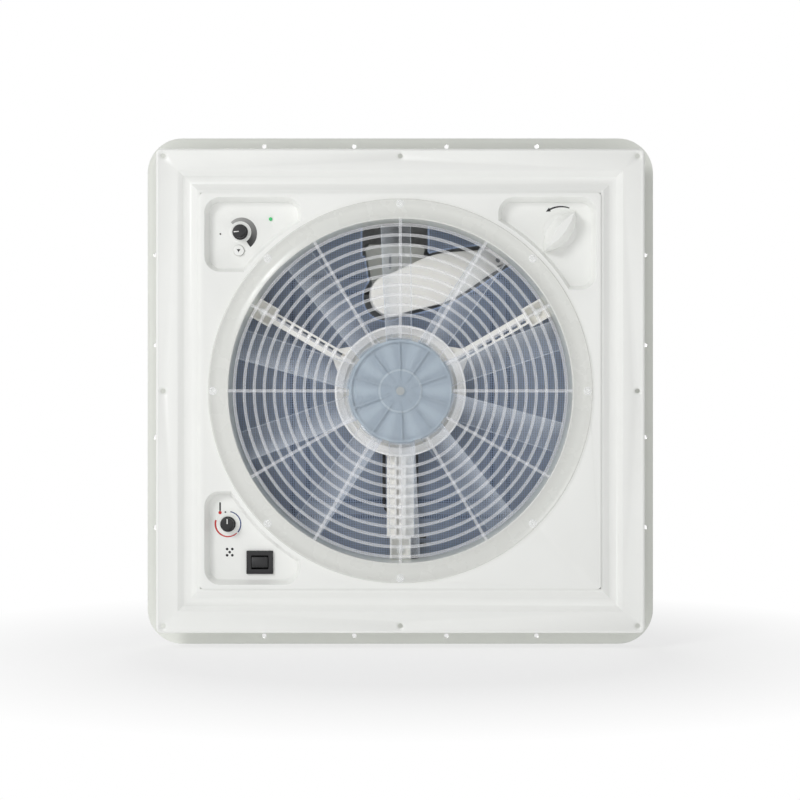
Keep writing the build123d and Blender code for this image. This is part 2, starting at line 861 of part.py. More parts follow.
# The fan: ten narrow twisted blades on a cup-shaped hub
def blade_section(radius):
    share = (radius - hub_radius) / (fan_radius - hub_radius)
    pitch = blade_root_pitch + share * (blade_tip_pitch - blade_root_pitch)
    half, thick = blade_chord / 2, blade_thickness / 2
    front = ThreePointArc((-half, thick), (0, blade_camber + thick), (half, thick))
    back = ThreePointArc((half, -thick), (0, blade_camber - thick), (-half, -thick))
    edges = [front, Line(front @ 1, back @ 0), back, Line(back @ 1, front @ 0)]
    plane = Plane(origin=(radius, 0, fan_level), x_dir=(0, 1, 0), z_dir=(1, 0, 0))
    return plane * Rot(0, 0, pitch) * make_face(edges)


def fan_blade():
    root = hub_radius - hub_wall / 2
    middle = (root + fan_radius) / 2
    return loft([blade_section(root), blade_section(middle), blade_section(fan_radius)])


def make_fan_rotor():
    hub = post(0, 0, hub_radius, hub_low, hub_high)
    face_low = hub_low + hub_rib_height
    face_high = face_low + hub_face
    hub -= post(0, 0, hub_radius - hub_wall, face_high, hub_high + overrun)
    hub -= post(0, 0, hub_radius - hub_wall, hub_low - overrun, face_low)
    rib = block(hub_boss_radius / 2, hub_radius - hub_wall / 2, -hub_rib_thickness / 2, hub_rib_thickness / 2,
                hub_low, face_low + hub_face / 2)
    turns = [360.0 * index / hub_rib_count for index in range(hub_rib_count)]
    hub += [Rot(0, 0, turn + blade_first_angle) * rib for turn in turns]
    hub += post(0, 0, hub_boss_radius, face_low - hub_boss_height, face_high)
    hub += post(0, 0, hub_collar_radius, face_low, face_low + hub_collar_length)
    blade = fan_blade()
    rotor = hub
    for index in range(blade_count):
        rotor += Rot(0, 0, blade_first_angle + 360.0 * index / blade_count) * blade
    return rotor - post(0, 0, shaft_radius + running_gap, hub_low - overrun, hub_high + overrun)


def make_fan_clip():
    face = hub_low + hub_rib_height - hub_boss_height
    cap = post(0, 0, fan_cap_radius, face - fan_cap_height, face)
    return cap - post(0, 0, shaft_radius + running_gap, hub_low, face + overrun)


# The insect net: a ring frame on the duct plate, with a cut-out for the lift arm and the bracket
def arm_outline(grow):
    tip = arm_tip_radius + grow
    belly = arm_belly_width / 2 + grow
    root = arm_root_width / 2 + grow
    heel_x = arm_neck_start - grow
    lower = Spline((heel_x, -root), (arm_belly_place, -belly), (arm_length, -tip), tangents=[(1, 0), (1, 0)])
    nose = ThreePointArc((arm_length, -tip), (arm_length + tip, 0), (arm_length, tip))
    upper = Spline((arm_length, tip), (arm_belly_place, belly), (heel_x, root), tangents=[(-1, 0), (-1, 0)])
    heel = Line((heel_x, root), (heel_x, -root))
    return make_face([lower, nose, upper, heel])


def bracket_outline(grow):
    far_half, near_half = bracket_far_width / 2 + grow, bracket_near_width / 2 + grow
    far, near = bracket_far_y - grow, bracket_near_y + grow
    chamfer_size = bracket_chamfer
    points = [
        (bracket_x - far_half + chamfer_size, far), (bracket_x + far_half - chamfer_size, far),
        (bracket_x + far_half, far + chamfer_size), (bracket_x + near_half, near),
        (bracket_x - near_half, near), (bracket_x - far_half, far + chamfer_size),
    ]
    return make_face(Polyline(points, close=True))


def arm_slot(grow=0.0):
    place = pivot_place() * Pos(0, 0, -pivot_height)
    return place * arm_outline(slot_gap + grow)


def lift_cutout(grow=0.0):
    near = bracket_far_y + bracket_gap
    half = bracket_far_width / 2 + slot_gap + grow
    top = Pos(bracket_x, (near - net_radius) / 2) * Rectangle(2 * half, net_radius + near)
    opening = arm_slot(grow) + bracket_outline(slot_gap + grow) + top
    return opening & Circle(net_radius - net_frame_width / 2 + grow)


def make_net_frame():
    outer = net_radius + net_frame_width / 2
    frame = ring(outer, net_radius - net_frame_width / 2, plate_top, net_level)
    return frame + ring(outer, outer - net_lip, net_level, net_level + net_thickness)


# A hem strand follows the cut-out's edge in short straight lengths
def hem_points():
    border = lift_cutout().faces()[0].outer_wire()
    limit = net_radius + net_frame_width / 2 - net_lip - side_gap
    points = [border @ (index / net_hem_steps) for index in range(net_hem_steps)]
    points += [corner.center() for corner in border.vertices()]
    points.sort(key=lambda point: border.param_at_point(point))
    kept = []
    for point in points:
        if not kept or hypot(point.X - kept[-1][0], point.Y - kept[-1][1]) > net_strand:
            kept.append((point.X, point.Y))
    return [point for point in kept if hypot(*point) < limit - net_strand]


def grown(points, distance):
    moved = []
    count = len(points)
    for index in range(count):
        (ax, ay), (bx, by), (cx, cy) = points[index - 1], points[index], points[(index + 1) % count]
        first = hypot(bx - ax, by - ay)
        second = hypot(cx - bx, cy - by)
        nx = (by - ay) / first + (cy - by) / second
        ny = (ax - bx) / first + (bx - cx) / second
        length = hypot(nx, ny)
        turn = max(length / 2, net_turn_share)
        moved.append((bx + nx / length * distance / turn, by + ny / length * distance / turn))
    return moved


def net_hem():
    inner = hem_points()
    area = sum(ax * by - bx * ay for (ax, ay), (bx, by) in zip(inner, inner[1:] + inner[:1]))
    if area < 0:
        inner = inner[::-1]
    outer = grown(inner, net_strand)
    lengths = []
    for index in range(len(inner)):
        following = (index + 1) % len(inner)
        start, end = inner[index], inner[following]
        if hypot(start[0] - end[0], start[1] - end[1]) > net_pitch and max(start[1], end[1]) < bracket_far_y:
            continue
        corners = [start, end, outer[following], outer[index]]
        lengths.append(extrude(make_face(Polyline(corners, close=True)), net_thickness, dir=(0, 0, 1)))
    return lengths


def strand_spans(region, level, upright):
    spans = []
    for shift in (-net_strand / 2, 0.0, net_strand / 2):
        line = Line((-roof_cutout, level + shift), (roof_cutout, level + shift))
        if upright:
            line = Line((level + shift, -roof_cutout), (level + shift, roof_cutout))
        cut = region.intersect(line)
        edges = cut.edges() if cut else []
        spans.append(sorted(sorted((end.Y if upright else end.X) for end in (edge @ 0, edge @ 1)) for edge in edges))
    if len({len(found) for found in spans}) > 1:
        return []
    return [(max(low for low, high in same), min(high for low, high in same)) for same in zip(*spans)]


def make_insect_net():
    eye = motor_radius + net_motor_gap
    rim = net_radius + net_frame_width / 2 - net_lip - side_gap
    inside = (Circle(rim) - lift_cutout(net_strand) - Circle(eye + net_strand)).faces()[0]
    count = int(2 * net_radius / net_pitch)
    half, middle = net_strand / 2, net_thickness / 2
    solids = [ring(eye + net_strand, eye, 0, net_thickness)] + net_hem()
    for index in range(count):
        level = net_pitch * (index - (count - 1) / 2)
        for low, high in strand_spans(inside, level, False):
            solids.append(block(low, high, level - half, level + half, 0, middle))
        for low, high in strand_spans(inside, level, True):
            solids.append(block(level - half, level + half, low, high, middle, net_thickness))
    return group([Pos(0, 0, net_level) * solid for solid in solids])


def make_net_clips():
    clips = []
    for index in range(net_clip_count):
        turn = 360.0 * (index + 0.5) / net_clip_count + 90.0 / net_clip_count
        inner = net_radius
        outer = net_radius + net_frame_width / 2 + net_clip_reach
        top = net_level + net_thickness
        clip = block(inner, outer, -net_clip_width / 2, net_clip_width / 2, top, top + net_clip_thickness)
        clip += block(outer - net_clip_reach + side_gap, outer, -net_clip_width / 2, net_clip_width / 2, plate_top, top)
        clips.append(Rot(0, 0, turn) * clip)
    return group(clips)


# The grille: centre disc, inner band, ten rings, rim and twelve spokes
def make_grille():
    rim = ring(grille_radius, grille_radius - grille_rim, grille_front, panel_front)
    grille = rim + post(0, 0, disc_radius, grille_front, grille_front + disc_thickness)
    grille += ring(band_high, band_low, grille_front, panel_front)
    for index in range(ring_count):
        middle = ring_first + index * ring_pitch
        grille += ring(middle + ring_width / 2, middle - ring_width / 2, grille_front, grille_front + ring_depth)
    for index in range(spoke_count):
        spoke = block(disc_radius - spoke_width, grille_radius - grille_rim + overrun, -spoke_width / 2,
                      spoke_width / 2, grille_front, panel_front)
        grille += Rot(0, 0, 360.0 * index / spoke_count) * spoke
    holes = circle_places(grille_screw_circle, grille_screw_count)
    return grille - [post(x, y, small_screw_radius + running_gap, grille_front - overrun, panel_front + overrun)
                     for x, y in holes]


def make_grille_screws():
    places = circle_places(grille_screw_circle, grille_screw_count)
    length = grille_thickness + trim_wall + duct_boss_height / 2
    return group([small_screw(x, y, grille_front, length) for x, y in places])


# The lift drive: gearbox on the duct plate, worm on the knob's shaft, sector on the arm
def gearbox_foot_places():
    y = sector_hub_width / 2 + side_gap + gearbox_wall + gearbox_foot / 2
    low = -gearbox_low_length + gearbox_screw_inset
    return [(low, y), (low, -y), (gearbox_long_length - 3 * gearbox_screw_inset, y),
            (gearbox_long_length - 3 * gearbox_screw_inset, -y)]


def gearbox_cover_places():
    y = sector_hub_width / 2 + side_gap + gearbox_wall / 2
    return [(0, y), (0, -y)]


def make_gearbox_body():
    inner = sector_hub_width / 2 + side_gap
    outer = inner + gearbox_wall
    wide = outer + gearbox_foot
    foot_length = gearbox_long_length - gearbox_foot
    body = block(-gearbox_low_length, foot_length, -wide, wide, plate_top, plate_top + gearbox_base)
    for side in (-1, 1):
        low, high = sorted((side * inner, side * outer))
        cheek = block(-gearbox_low_length, gearbox_long_length, low, high, plate_top, gearbox_top)
        bevel = Pos(gearbox_long_length, (low + high) / 2, plate_top) * Rot(0, 45, 0) * Box(
            sector_radius, 2 * gearbox_wall, sector_radius)
        body += cheek - bevel
    body += block(-gearbox_low_length, gearbox_wall - gearbox_low_length, -inner, inner, plate_top, gearbox_top)
    body -= post(0, 0, knob_shaft_radius + running_gap, 0, plate_top + gearbox_base + overrun)
    pin = Pos(gear_distance, 0, pivot_height) * Rot(90, 0, 0) * Cylinder(pivot_pin_radius, 2 * wide)
    body -= pin
    body -= [post(x, y, small_screw_radius, plate_top - overrun, plate_top + gearbox_base + overrun)
             for x, y in gearbox_foot_places()]
    body -= [post(x, y, thread_hole, gearbox_top - gearbox_foot, gearbox_top + overrun)
             for x, y in gearbox_cover_places()]
    return lift_place() * body


def make_gearbox_cover():
    outer = sector_hub_width / 2 + side_gap + gearbox_wall
    cover = block(-gearbox_low_length, gearbox_cover_reach, -outer, outer, gearbox_top,
                  gearbox_top + gearbox_cover_height)
    cover -= post(0, 0, knob_shaft_radius + running_gap, gearbox_top - overrun, gearbox_top + gearbox_cover_height / 2)
    cover -= [post(x, y, thread_hole, gearbox_top - overrun, gearbox_top + gearbox_cover_height + overrun)
              for x, y in gearbox_cover_places()]
    return lift_place() * cover


def make_gearbox_screws():
    screws = [small_screw(x, y, plate_top + gearbox_base, gearbox_base + duct_plate, up=False)
              for x, y in gearbox_foot_places()]
    top = gearbox_top + gearbox_cover_height
    screws += [screw(x, y, top, cover_screw_length + gearbox_cover_height, thread_hole, 2 * thread_hole,
                     thread_hole, up=False) for x, y in gearbox_cover_places()]
    return group([lift_place() * one for one in screws])


def make_arm_pivot_pin():
    length = sector_hub_width + 2 * side_gap + 2 * gearbox_wall
    return pivot_place() * Rot(90, 0, 0) * Cylinder(pivot_pin_radius, length)


def sector_tooth():
    tip = sector_radius + worm_module
    root = sector_radius - tooth_root_depth_share * worm_module
    thick = pi * worm_module / 2
    foot = root - overrun
    points = [(-foot, thick * tooth_root_share), (-root, thick * tooth_root_share), (-tip, thick * tooth_tip_share),
              (-tip, -thick * tooth_tip_share), (-root, -thick * tooth_root_share), (-foot, -thick * tooth_root_share)]
    face = make_face(Polyline([(x, 0, z) for x, z in points], close=True))
    return extrude(face, sector_width / 2, both=True)


def arm_place():
    return pivot_place() * Rot(0, arm_closed_angle, 0)


def make_lift_arm():
    # The toothed sector is cut to its working span, which faces the worm over the whole swing
    step = 360.0 / sector_teeth
    middle_turn = arm_closed_angle - opening_arm_angle / 2
    web_radius = sector_radius - tooth_root_depth_share * worm_module
    web = Rot(90, 0, 0) * Cylinder(web_radius, sector_width)
    half_span = (sector_shown + 1) * step / 2
    keep = Pos(-web_radius, 0, 0) * Box(2 * web_radius, 2 * sector_width, 2 * web_radius * sin(radians(half_span)))
    sector = (web & (Rot(0, -middle_turn, 0) * keep))
    for index in range(sector_shown):
        turn = (index - (sector_shown - 1) / 2) * step
        sector += Rot(0, turn - middle_turn, 0) * sector_tooth()
    hub = Rot(90, 0, 0) * Cylinder(sector_hub_radius, sector_hub_width)
    outline = arm_outline(0)
    solid = Pos(0, 0, -arm_low) * extrude(outline, arm_low + arm_high)
    pocket_floor = -arm_low + arm_floor
    pocket = Pos(0, 0, pocket_floor) * extrude(arm_outline(-arm_wall), arm_low + arm_high)
    rib = block(arm_neck_start, arm_length + arm_tip_radius - overrun, -arm_rib / 2, arm_rib / 2,
                pocket_floor - overrun, 0)
    blade = solid - pocket + rib
    ears = []
    for side in (-1, 1):
        low, high = sorted((side * (roller_width / 2 + side_gap), side * (roller_width / 2 + side_gap + roller_ear)))
        eye = Pos(arm_length, (low + high) / 2, roller_rise) * Rot(90, 0, 0) * Cylinder(roller_ear_radius, roller_ear)
        stem = block(arm_length - roller_ear_radius, arm_length + roller_ear_radius, low, high, pocket_floor - overrun,
                     roller_rise)
        ears.append(eye + stem)
    arm = joined(blade, sector, hub, *ears)
    hole_top = arm_high + overrun
    arm -= post(arm_hole_x, arm_hole_y, arm_hole_radius, -arm_low - overrun, hole_top)
    slot_y = arm_hole_y - 2 * arm_hole_radius
    arm -= block(arm_hole_x - arm_slot_length / 2, arm_hole_x + arm_slot_length / 2, slot_y - arm_slot_width,
                 slot_y, -arm_low - overrun, hole_top)
    roller_pocket = Pos(arm_length, 0, roller_rise) * Sphere(roller_radius + side_gap)
    well = block(arm_length - roller_radius, arm_length + roller_radius, -roller_width / 2, roller_width / 2,
                 pocket_floor, roller_rise)
    arm -= roller_pocket & Pos(arm_length, 0, roller_rise) * Box(4 * roller_radius, roller_width + 2 * side_gap,
                                                                4 * roller_radius)
    arm -= well
    arm -= Rot(90, 0, 0) * Cylinder(pivot_pin_radius + running_gap, sector_hub_width + 2 * overrun)
    arm -= Pos(arm_length, 0, roller_rise) * Rot(90, 0, 0) * Cylinder(roller_bore, 2 * roller_width)
    return arm_place() * arm


def make_arm_roller():
    # A crowned roller, turned from a profile of short straight steps on a round
    edge = asin(roller_width / 2 / roller_radius)
    turns = [edge * (2.0 * index / roller_steps - 1) for index in range(roller_steps + 1)]
    crown = [(roller_radius * sin(turn), roller_radius * cos(turn)) for turn in turns]
    bore = roller_bore + running_gap
    profile = make_face(Polyline([(-roller_width / 2, bore)] + crown + [(roller_width / 2, bore)], close=True))
    roller = Rot(0, 0, 90) * revolve(profile, axis=Axis.X)
    return arm_place() * Pos(arm_length, 0, roller_rise) * roller


def make_roller_pin():
    pin = Rot(90, 0, 0) * Cylinder(roller_bore, roller_width + 2 * side_gap + 2 * roller_ear)
    return arm_place() * Pos(arm_length, 0, roller_rise) * pin


def make_worm_shaft():
    top = gearbox_top + gearbox_cover_height / 2
    shaft = post(knob_x, knob_y, knob_shaft_radius, recess_floor - knob_socket, top)
    worm = post(knob_x, knob_y, worm_core, pivot_height - worm_length / 2, pivot_height + worm_length / 2)
    return shaft + worm


def leaf(length, width):
    half_length, half_width = length / 2, width / 2
    lower = ThreePointArc((-half_length, 0), (0, -half_width), (half_length, 0))
    upper = ThreePointArc((half_length, 0), (0, half_width), (-half_length, 0))
    return make_face([lower, upper])


# The opening knob: a leaf with two long slopes, pushed onto the end of the worm's shaft
def make_opening_knob():
    top = recess_floor - knob_height
    seat = recess_floor - rest_gap
    disc = post(0, 0, knob_disc_radius, seat - knob_disc_height, seat)
    skirt_low = seat - knob_disc_height
    grip = Pos(0, 0, skirt_low) * extrude(leaf(knob_length, knob_width), knob_disc_height, dir=(0, 0, 1))
    grip += loft([Pos(0, 0, skirt_low) * leaf(knob_length, knob_width),
                  Pos(0, 0, top) * leaf(knob_top_length, knob_top_width)], ruled=True)
    knob = disc + grip - post(0, 0, knob_shaft_radius, recess_floor - knob_socket, recess_floor)
    return Pos(knob_x, knob_y, 0) * Rot(0, 0, knob_angle) * knob


# The bracket on the dome that the arm's roller lifts
def bracket_screw_places():
    y_far = bracket_far_y + 2 * bracket_boss_radius
    y_near = bracket_near_y - bracket_boss_inset
    half = bracket_boss_spacing / 2
    return [(bracket_x - half, y_far), (bracket_x + half, y_far), (bracket_x, y_near)]


def cam_place():
    turn = degrees(atan2(cam_end_y - cam_start_y, cam_end_x - cam_start_x))
    return Pos(cam_start_x, cam_start_y, 0) * Rot(0, 0, turn)


def make_lift_bracket():
    outer = loft([Pos(0, 0, bracket_bottom) * bracket_outline(0),
                  Pos(0, 0, bracket_top) * bracket_outline(bracket_flare)])
    inner = loft([Pos(0, 0, bracket_bottom + bracket_plate) * bracket_outline(-bracket_wall),
                  Pos(0, 0, bracket_top + overrun) * bracket_outline(bracket_flare - bracket_wall)])
    cam_cylinder = cam_place() * Pos(cam_apex_run, 0, cam_apex - cam_radius) * Rot(90, 0, 0) * Cylinder(
        cam_radius, 2 * cam_clear_width)
    strip = cam_place() * block(-cam_before, cam_after, -cam_half_width, cam_half_width, cam_low, cam_high)
    bracket = outer - inner
    bracket += strip & (outer + block(-knob_x, knob_x, knob_y, 0, cam_low, bracket_bottom))
    for x, y in bracket_screw_places():
        bracket += post(x, y, bracket_boss_radius, bracket_bottom + bracket_plate / 2, bracket_top) & outer
    bracket -= cam_cylinder
    half = bracket_stripe_width / 2
    bracket -= block(bracket_x - half, bracket_x + half, bracket_far_y - overrun, bracket_slit_y + bracket_slit_length / 2,
                     bracket_bottom - overrun, bracket_bottom + bracket_stripe_depth)
    slit_y = bracket_slit_y
    for side in (-1, 1):
        middle = bracket_x + side * bracket_slit_gap / 2
        bracket -= block(middle - bracket_slit_width / 2, middle + bracket_slit_width / 2,
                         slit_y - bracket_slit_length / 2, slit_y + bracket_slit_length / 2,
                         bracket_bottom - overrun, bracket_bottom + bracket_plate + overrun)
    bracket -= [post(x, y, bracket_screw_radius, bracket_bottom, bracket_top + overrun)
                for x, y in bracket_screw_places()]
    return bracket


def make_bracket_screws():
    seat = bracket_bottom + bracket_plate
    screws = []
    for x, y in bracket_screw_places():
        screws.append(post(x, y, bracket_screw_radius, seat, bracket_top + dome_wall / 2))
    return group(screws)


# The controls at the two left recesses
def make_control_board():
    low = recess_back + pot_body_height
    board = block(speed_x - 2 * collar_radius, lamp_x + collar_radius, speed_y - 2 * collar_radius,
                  button_y + collar_radius, low, low + board_thickness)
    return board - [post(x, y, board_screw_radius, low - overrun, low + board_thickness + overrun)
                    for x, y in board_screw_places()]


def board_screw_places():
    return [(speed_x - 2 * collar_radius + small_head_radius, speed_y - 2 * collar_radius + small_head_radius),
            (lamp_x + collar_radius - small_head_radius, button_y + collar_radius - small_head_radius)]


def make_board_screws():
    top = recess_back + pot_body_height + board_thickness
    return group([screw(x, y, top, board_thickness + pot_body_height, board_screw_radius, 2 * board_screw_radius,
                        board_screw_radius, up=False) for x, y in board_screw_places()])


def make_board_parts():
    low = recess_back + pot_body_height + board_thickness
    relay_x, chip_x = lamp_x - relay_inset, speed_x + chip_inset
    relay = block(relay_x - relay_width, relay_x, speed_y - relay_width / 2, speed_y + relay_width / 2, low,
                  low + relay_height)
    capacitor = post(speed_x - capacitor_radius, button_y, capacitor_radius, low, low + capacitor_height)
    chip = block(chip_x, chip_x + chip_width, button_y - chip_width / 2, button_y + chip_width / 2, low,
                 low + chip_height)
    return group([relay, capacitor, chip])


def make_pot(x, y):
    body = post(x, y, pot_body_radius, recess_back, recess_back + pot_body_height)
    return body - post(x, y, small_shaft_radius + running_gap, recess_back - overrun,
                       recess_back + pot_body_height / 2)


def make_small_knob(x, y):
    seat = recess_floor - collar_height - rest_gap
    top = seat - small_knob_height
    knob = post(x, y, small_knob_radius, top, seat)
    knob += post(x, y, small_knob_radius + small_knob_skirt, seat - small_knob_skirt, seat)
    shaft = post(x, y, small_shaft_radius, seat - small_knob_skirt, recess_back + pot_body_height / 2 - rest_gap)
    return knob + shaft


def make_push_button():
    low = recess_floor - button_height
    button = post(button_x, button_y, button_radius, low, recess_back)
    button += post(button_x, button_y, button_radius + overrun, recess_back + rest_gap / 2, recess_back + 2 * overrun)
    return button + post(button_x, button_y, button_radius, recess_back, recess_back + overrun)


def make_led_lens():
    return post(lamp_x, lamp_y, lamp_radius - running_gap, recess_floor - lamp_radius / 2, recess_back)


def make_switch_body():
    x, y = rocker_x, rocker_y
    half_x, half_y = rocker_width / 2, rocker_depth / 2
    bezel = block(x - half_x, x + half_x, y - half_y, y + half_y, recess_floor - rocker_bezel, recess_floor)
    body = block(x - half_x + rocker_bezel + rest_gap, x + half_x - rocker_bezel - rest_gap,
                 y - half_y + rocker_bezel + rest_gap, y + half_y - rocker_bezel - rest_gap,
                 recess_floor, recess_floor + rocker_depth)
    switch = bezel + body
    inner = 2 * rocker_bezel
    switch -= block(x - half_x + inner, x + half_x - inner, y - half_y + inner, y + half_y - inner,
                    recess_floor - rocker_bezel - overrun, recess_floor + rocker_depth / 2)
    return switch


def make_rocker():
    x, y = rocker_x, rocker_y
    half_x = rocker_width / 2 - 2 * rocker_bezel - rest_gap
    half_y = rocker_depth / 2 - 2 * rocker_bezel - 2 * rest_gap
    rocker = Rot(0, 90, 0) * Cylinder(half_y, 2 * half_x)
    rocker &= block(-half_x, half_x, -half_y, half_y, -rocker_face, rocker_bezel)
    # The face is two flats that meet at a shallow angle, and the far one is pressed in at rest
    for side in (-1, 1):
        waste = block(-rocker_width, rocker_width, -rocker_depth, rocker_depth, -rocker_depth, 0)
        rocker -= Pos(0, 0, -rocker_face + rocker_bezel / 4) * Rot(side * rocker_tilt, 0, 0) * waste
    return Pos(x, y, recess_floor) * Rot(-rocker_tilt, 0, 0) * rocker


def make_switch_terminals():
    low = recess_floor + rocker_depth
    blades = []
    for step in (-1, 0, 1):
        middle = rocker_y + step * rocker_depth / 4
        blades.append(block(rocker_x - rocker_bezel, rocker_x + rocker_bezel, middle - rest_gap, middle + rest_gap,
                            low, low + 2 * rocker_bezel))
    return group(blades)


# The two motor leads, which run beside the lower spider arm and through a slot in the duct's plate
def lead_tube(points, radii):
    path = FilletPolyline(*points, radius=radii)
    start = Plane(origin=path @ 0, z_dir=path % 0)
    return sweep(start * Circle(lead_radius), path=path)


def lead_start(x):
    inner = abs(x) - lead_radius
    return x, sqrt(motor_radius ** 2 - inner ** 2) + rest_gap, lead_level


def lead_end(x):
    return [(x, lead_rise_y, lead_level), (x, terminal_y - lead_entry, terminal_level), (x, terminal_y, terminal_level)]


def make_right_lead():
    points = [lead_start(lead_right_x)] + lead_end(lead_right_x)
    return lead_tube(points, [lead_bend, lead_bend])


def make_left_lead():
    points = [lead_start(-lead_right_x), (-lead_right_x, lead_cross_y, lead_level),
              (lead_left_x, lead_meet_y, lead_level)] + lead_end(lead_left_x)
    return lead_tube(points, [lead_bend, lead_bend, lead_bend, lead_bend])


def make_terminal_block():
    middle = (lead_left_x + lead_right_x) / 2
    half = terminal_width / 2
    body = block(middle - half, middle + half, terminal_y, terminal_y + terminal_depth, plate_top,
                 plate_top + terminal_height)
    for x in (lead_left_x - terminal_pitch / 2, lead_right_x + terminal_pitch / 2):
        body -= post(x, terminal_y + terminal_depth / 2, thread_hole, plate_top + terminal_height / 2,
                     plate_top + terminal_height + overrun)
    return body


def make_cable_ties():
    low_x = lead_left_x - lead_radius - tie_gap
    high_x = lead_right_x + lead_radius + tie_gap
    low_z, high_z = lead_level - lead_radius - tie_gap, lead_level + lead_radius + tie_gap
    ties = []
    for y in (tie_first_y, tie_first_y + tie_pitch):
        near, far = y - tie_width / 2, y + tie_width / 2
        band = block(low_x - tie_thickness, high_x + tie_thickness, near, far, low_z - tie_thickness,
                     high_z + tie_thickness)
        band -= block(low_x, high_x, near - overrun, far + overrun, low_z, high_z)
        tail = block(high_x + tie_thickness / 2, high_x + tie_tail, near, far, lead_level, lead_level + tie_thickness)
        ties.append(band + tail)
    return group(ties)


save("base_frame", make_base_frame())
save("hinge_pins", make_hinge_pins())
save("dome_seal", make_dome_seal())
save("dome_shell", make_dome_shell())
save("interior_trim", make_interior_trim())
save("fan_duct", make_fan_duct())
save("duct_screws", make_duct_screws())
save("motor_spider", make_motor_spider())
save("spider_screws", make_spider_screws())
save("motor_can", make_motor_can())
save("motor_cap", make_motor_cap())
save("motor_bushes", make_motor_bushes())
save("motor_magnets", make_motor_magnets())
save("motor_screws", make_motor_screws())
save("motor_armature", make_motor_armature())
save("motor_shaft", make_motor_shaft())
save("fan_rotor", make_fan_rotor())
save("fan_clip", make_fan_clip())
save("net_frame", make_net_frame())
save("insect_net", make_insect_net())
save("net_clips", make_net_clips())
save("grille", make_grille())
save("grille_screws", make_grille_screws())
save("gearbox_body", make_gearbox_body())
save("gearbox_cover", make_gearbox_cover())
save("gearbox_screws", make_gearbox_screws())
save("arm_pivot_pin", make_arm_pivot_pin())
save("lift_arm", make_lift_arm())
save("arm_roller", make_arm_roller())
save("roller_pin", make_roller_pin())
save("worm_shaft", make_worm_shaft())
save("opening_knob", make_opening_knob())
save("lift_bracket", make_lift_bracket())
save("bracket_screws", make_bracket_screws())
save("control_board", make_control_board())
save("board_parts", make_board_parts())
save("board_screws", make_board_screws())
save("speed_control", make_pot(speed_x, speed_y))
save("thermostat_control", make_pot(thermostat_x, thermostat_y))
save("speed_knob", make_small_knob(speed_x, speed_y))
save("thermostat_knob", make_small_knob(thermostat_x, thermostat_y))
save("push_button", make_push_button())
save("led_lens", make_led_lens())
save("switch_body", make_switch_body())
save("rocker", make_rocker())
save("switch_terminals", make_switch_terminals())
save("right_lead", make_right_lead())
save("left_lead", make_left_lead())
save("terminal_block", make_terminal_block())
save("cable_ties", make_cable_ties())
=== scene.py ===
import bpy
import bmesh
import json
from math import cos, hypot, pi, radians, sin, sqrt
from mathutils import Matrix, Vector


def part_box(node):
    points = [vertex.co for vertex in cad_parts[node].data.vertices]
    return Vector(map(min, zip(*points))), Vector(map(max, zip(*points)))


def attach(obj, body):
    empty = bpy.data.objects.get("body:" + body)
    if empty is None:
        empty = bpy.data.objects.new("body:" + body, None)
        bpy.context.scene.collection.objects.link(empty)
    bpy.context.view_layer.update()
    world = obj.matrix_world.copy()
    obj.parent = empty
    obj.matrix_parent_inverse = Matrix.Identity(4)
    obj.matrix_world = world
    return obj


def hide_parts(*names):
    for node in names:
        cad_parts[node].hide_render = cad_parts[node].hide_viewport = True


# Caravan roof vent, seen from inside the caravan: the trim frame faces -Z, the dome is at +Z.
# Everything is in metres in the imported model's own frame.

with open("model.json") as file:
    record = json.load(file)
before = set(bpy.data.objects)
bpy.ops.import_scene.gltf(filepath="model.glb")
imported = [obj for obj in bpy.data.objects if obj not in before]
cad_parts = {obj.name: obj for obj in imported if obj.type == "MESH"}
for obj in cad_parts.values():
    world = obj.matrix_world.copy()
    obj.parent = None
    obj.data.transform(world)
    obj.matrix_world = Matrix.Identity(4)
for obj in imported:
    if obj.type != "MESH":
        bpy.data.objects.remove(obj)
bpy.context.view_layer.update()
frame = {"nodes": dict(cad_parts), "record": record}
mm = 0.001
nodes = frame["nodes"]
slotOf = {row["node"]: row["material_slot"] for row in frame["record"]["subparts"]}
print("frame loaded:", len(nodes), "nodes")


# Materials

def seen(red, green, blue):
    # a colour as a screen shows it, 0 to 255, turned into the shader's linear values
    def linear(value):
        share = value / 255
        return share / 12.92 if share <= 0.04045 else ((share + 0.055) / 1.055) ** 2.4
    return (linear(red), linear(green), linear(blue), 1)


def startMaterial(name):
    material = bpy.data.materials.new(name)
    material.use_nodes = True
    tree = material.node_tree
    return material, tree, tree.nodes["Principled BSDF"]


def addNoise(tree, scale, detail=2.0):
    place = tree.nodes.new("ShaderNodeTexCoord")
    noise = tree.nodes.new("ShaderNodeTexNoise")
    noise.inputs["Scale"].default_value = scale
    noise.inputs["Detail"].default_value = detail
    tree.links.new(place.outputs["Object"], noise.inputs["Vector"])
    return noise.outputs["Fac"]


def addRange(tree, source, low, high, fromLow=0.3, fromHigh=0.7):
    ranged = tree.nodes.new("ShaderNodeMapRange")
    ranged.inputs["From Min"].default_value = fromLow
    ranged.inputs["From Max"].default_value = fromHigh
    ranged.inputs["To Min"].default_value = low
    ranged.inputs["To Max"].default_value = high
    tree.links.new(source, ranged.inputs["Value"])
    return ranged.outputs["Result"]


def addTint(tree, source, dark, light):
    mix = tree.nodes.new("ShaderNodeMix")
    mix.data_type = "RGBA"
    for side, colour in (("A", dark), ("B", light)):
        if isinstance(colour, tuple):
            mix.inputs[side].default_value = colour
        else:
            tree.links.new(colour, mix.inputs[side])
    tree.links.new(source, mix.inputs["Factor"])
    return mix.outputs["Result"]


def addBump(tree, shader, source, strength, distance):
    bump = tree.nodes.new("ShaderNodeBump")
    bump.inputs["Strength"].default_value = strength
    bump.inputs["Distance"].default_value = distance
    tree.links.new(source, bump.inputs["Height"])
    tree.links.new(bump.outputs["Normal"], shader.inputs["Normal"])


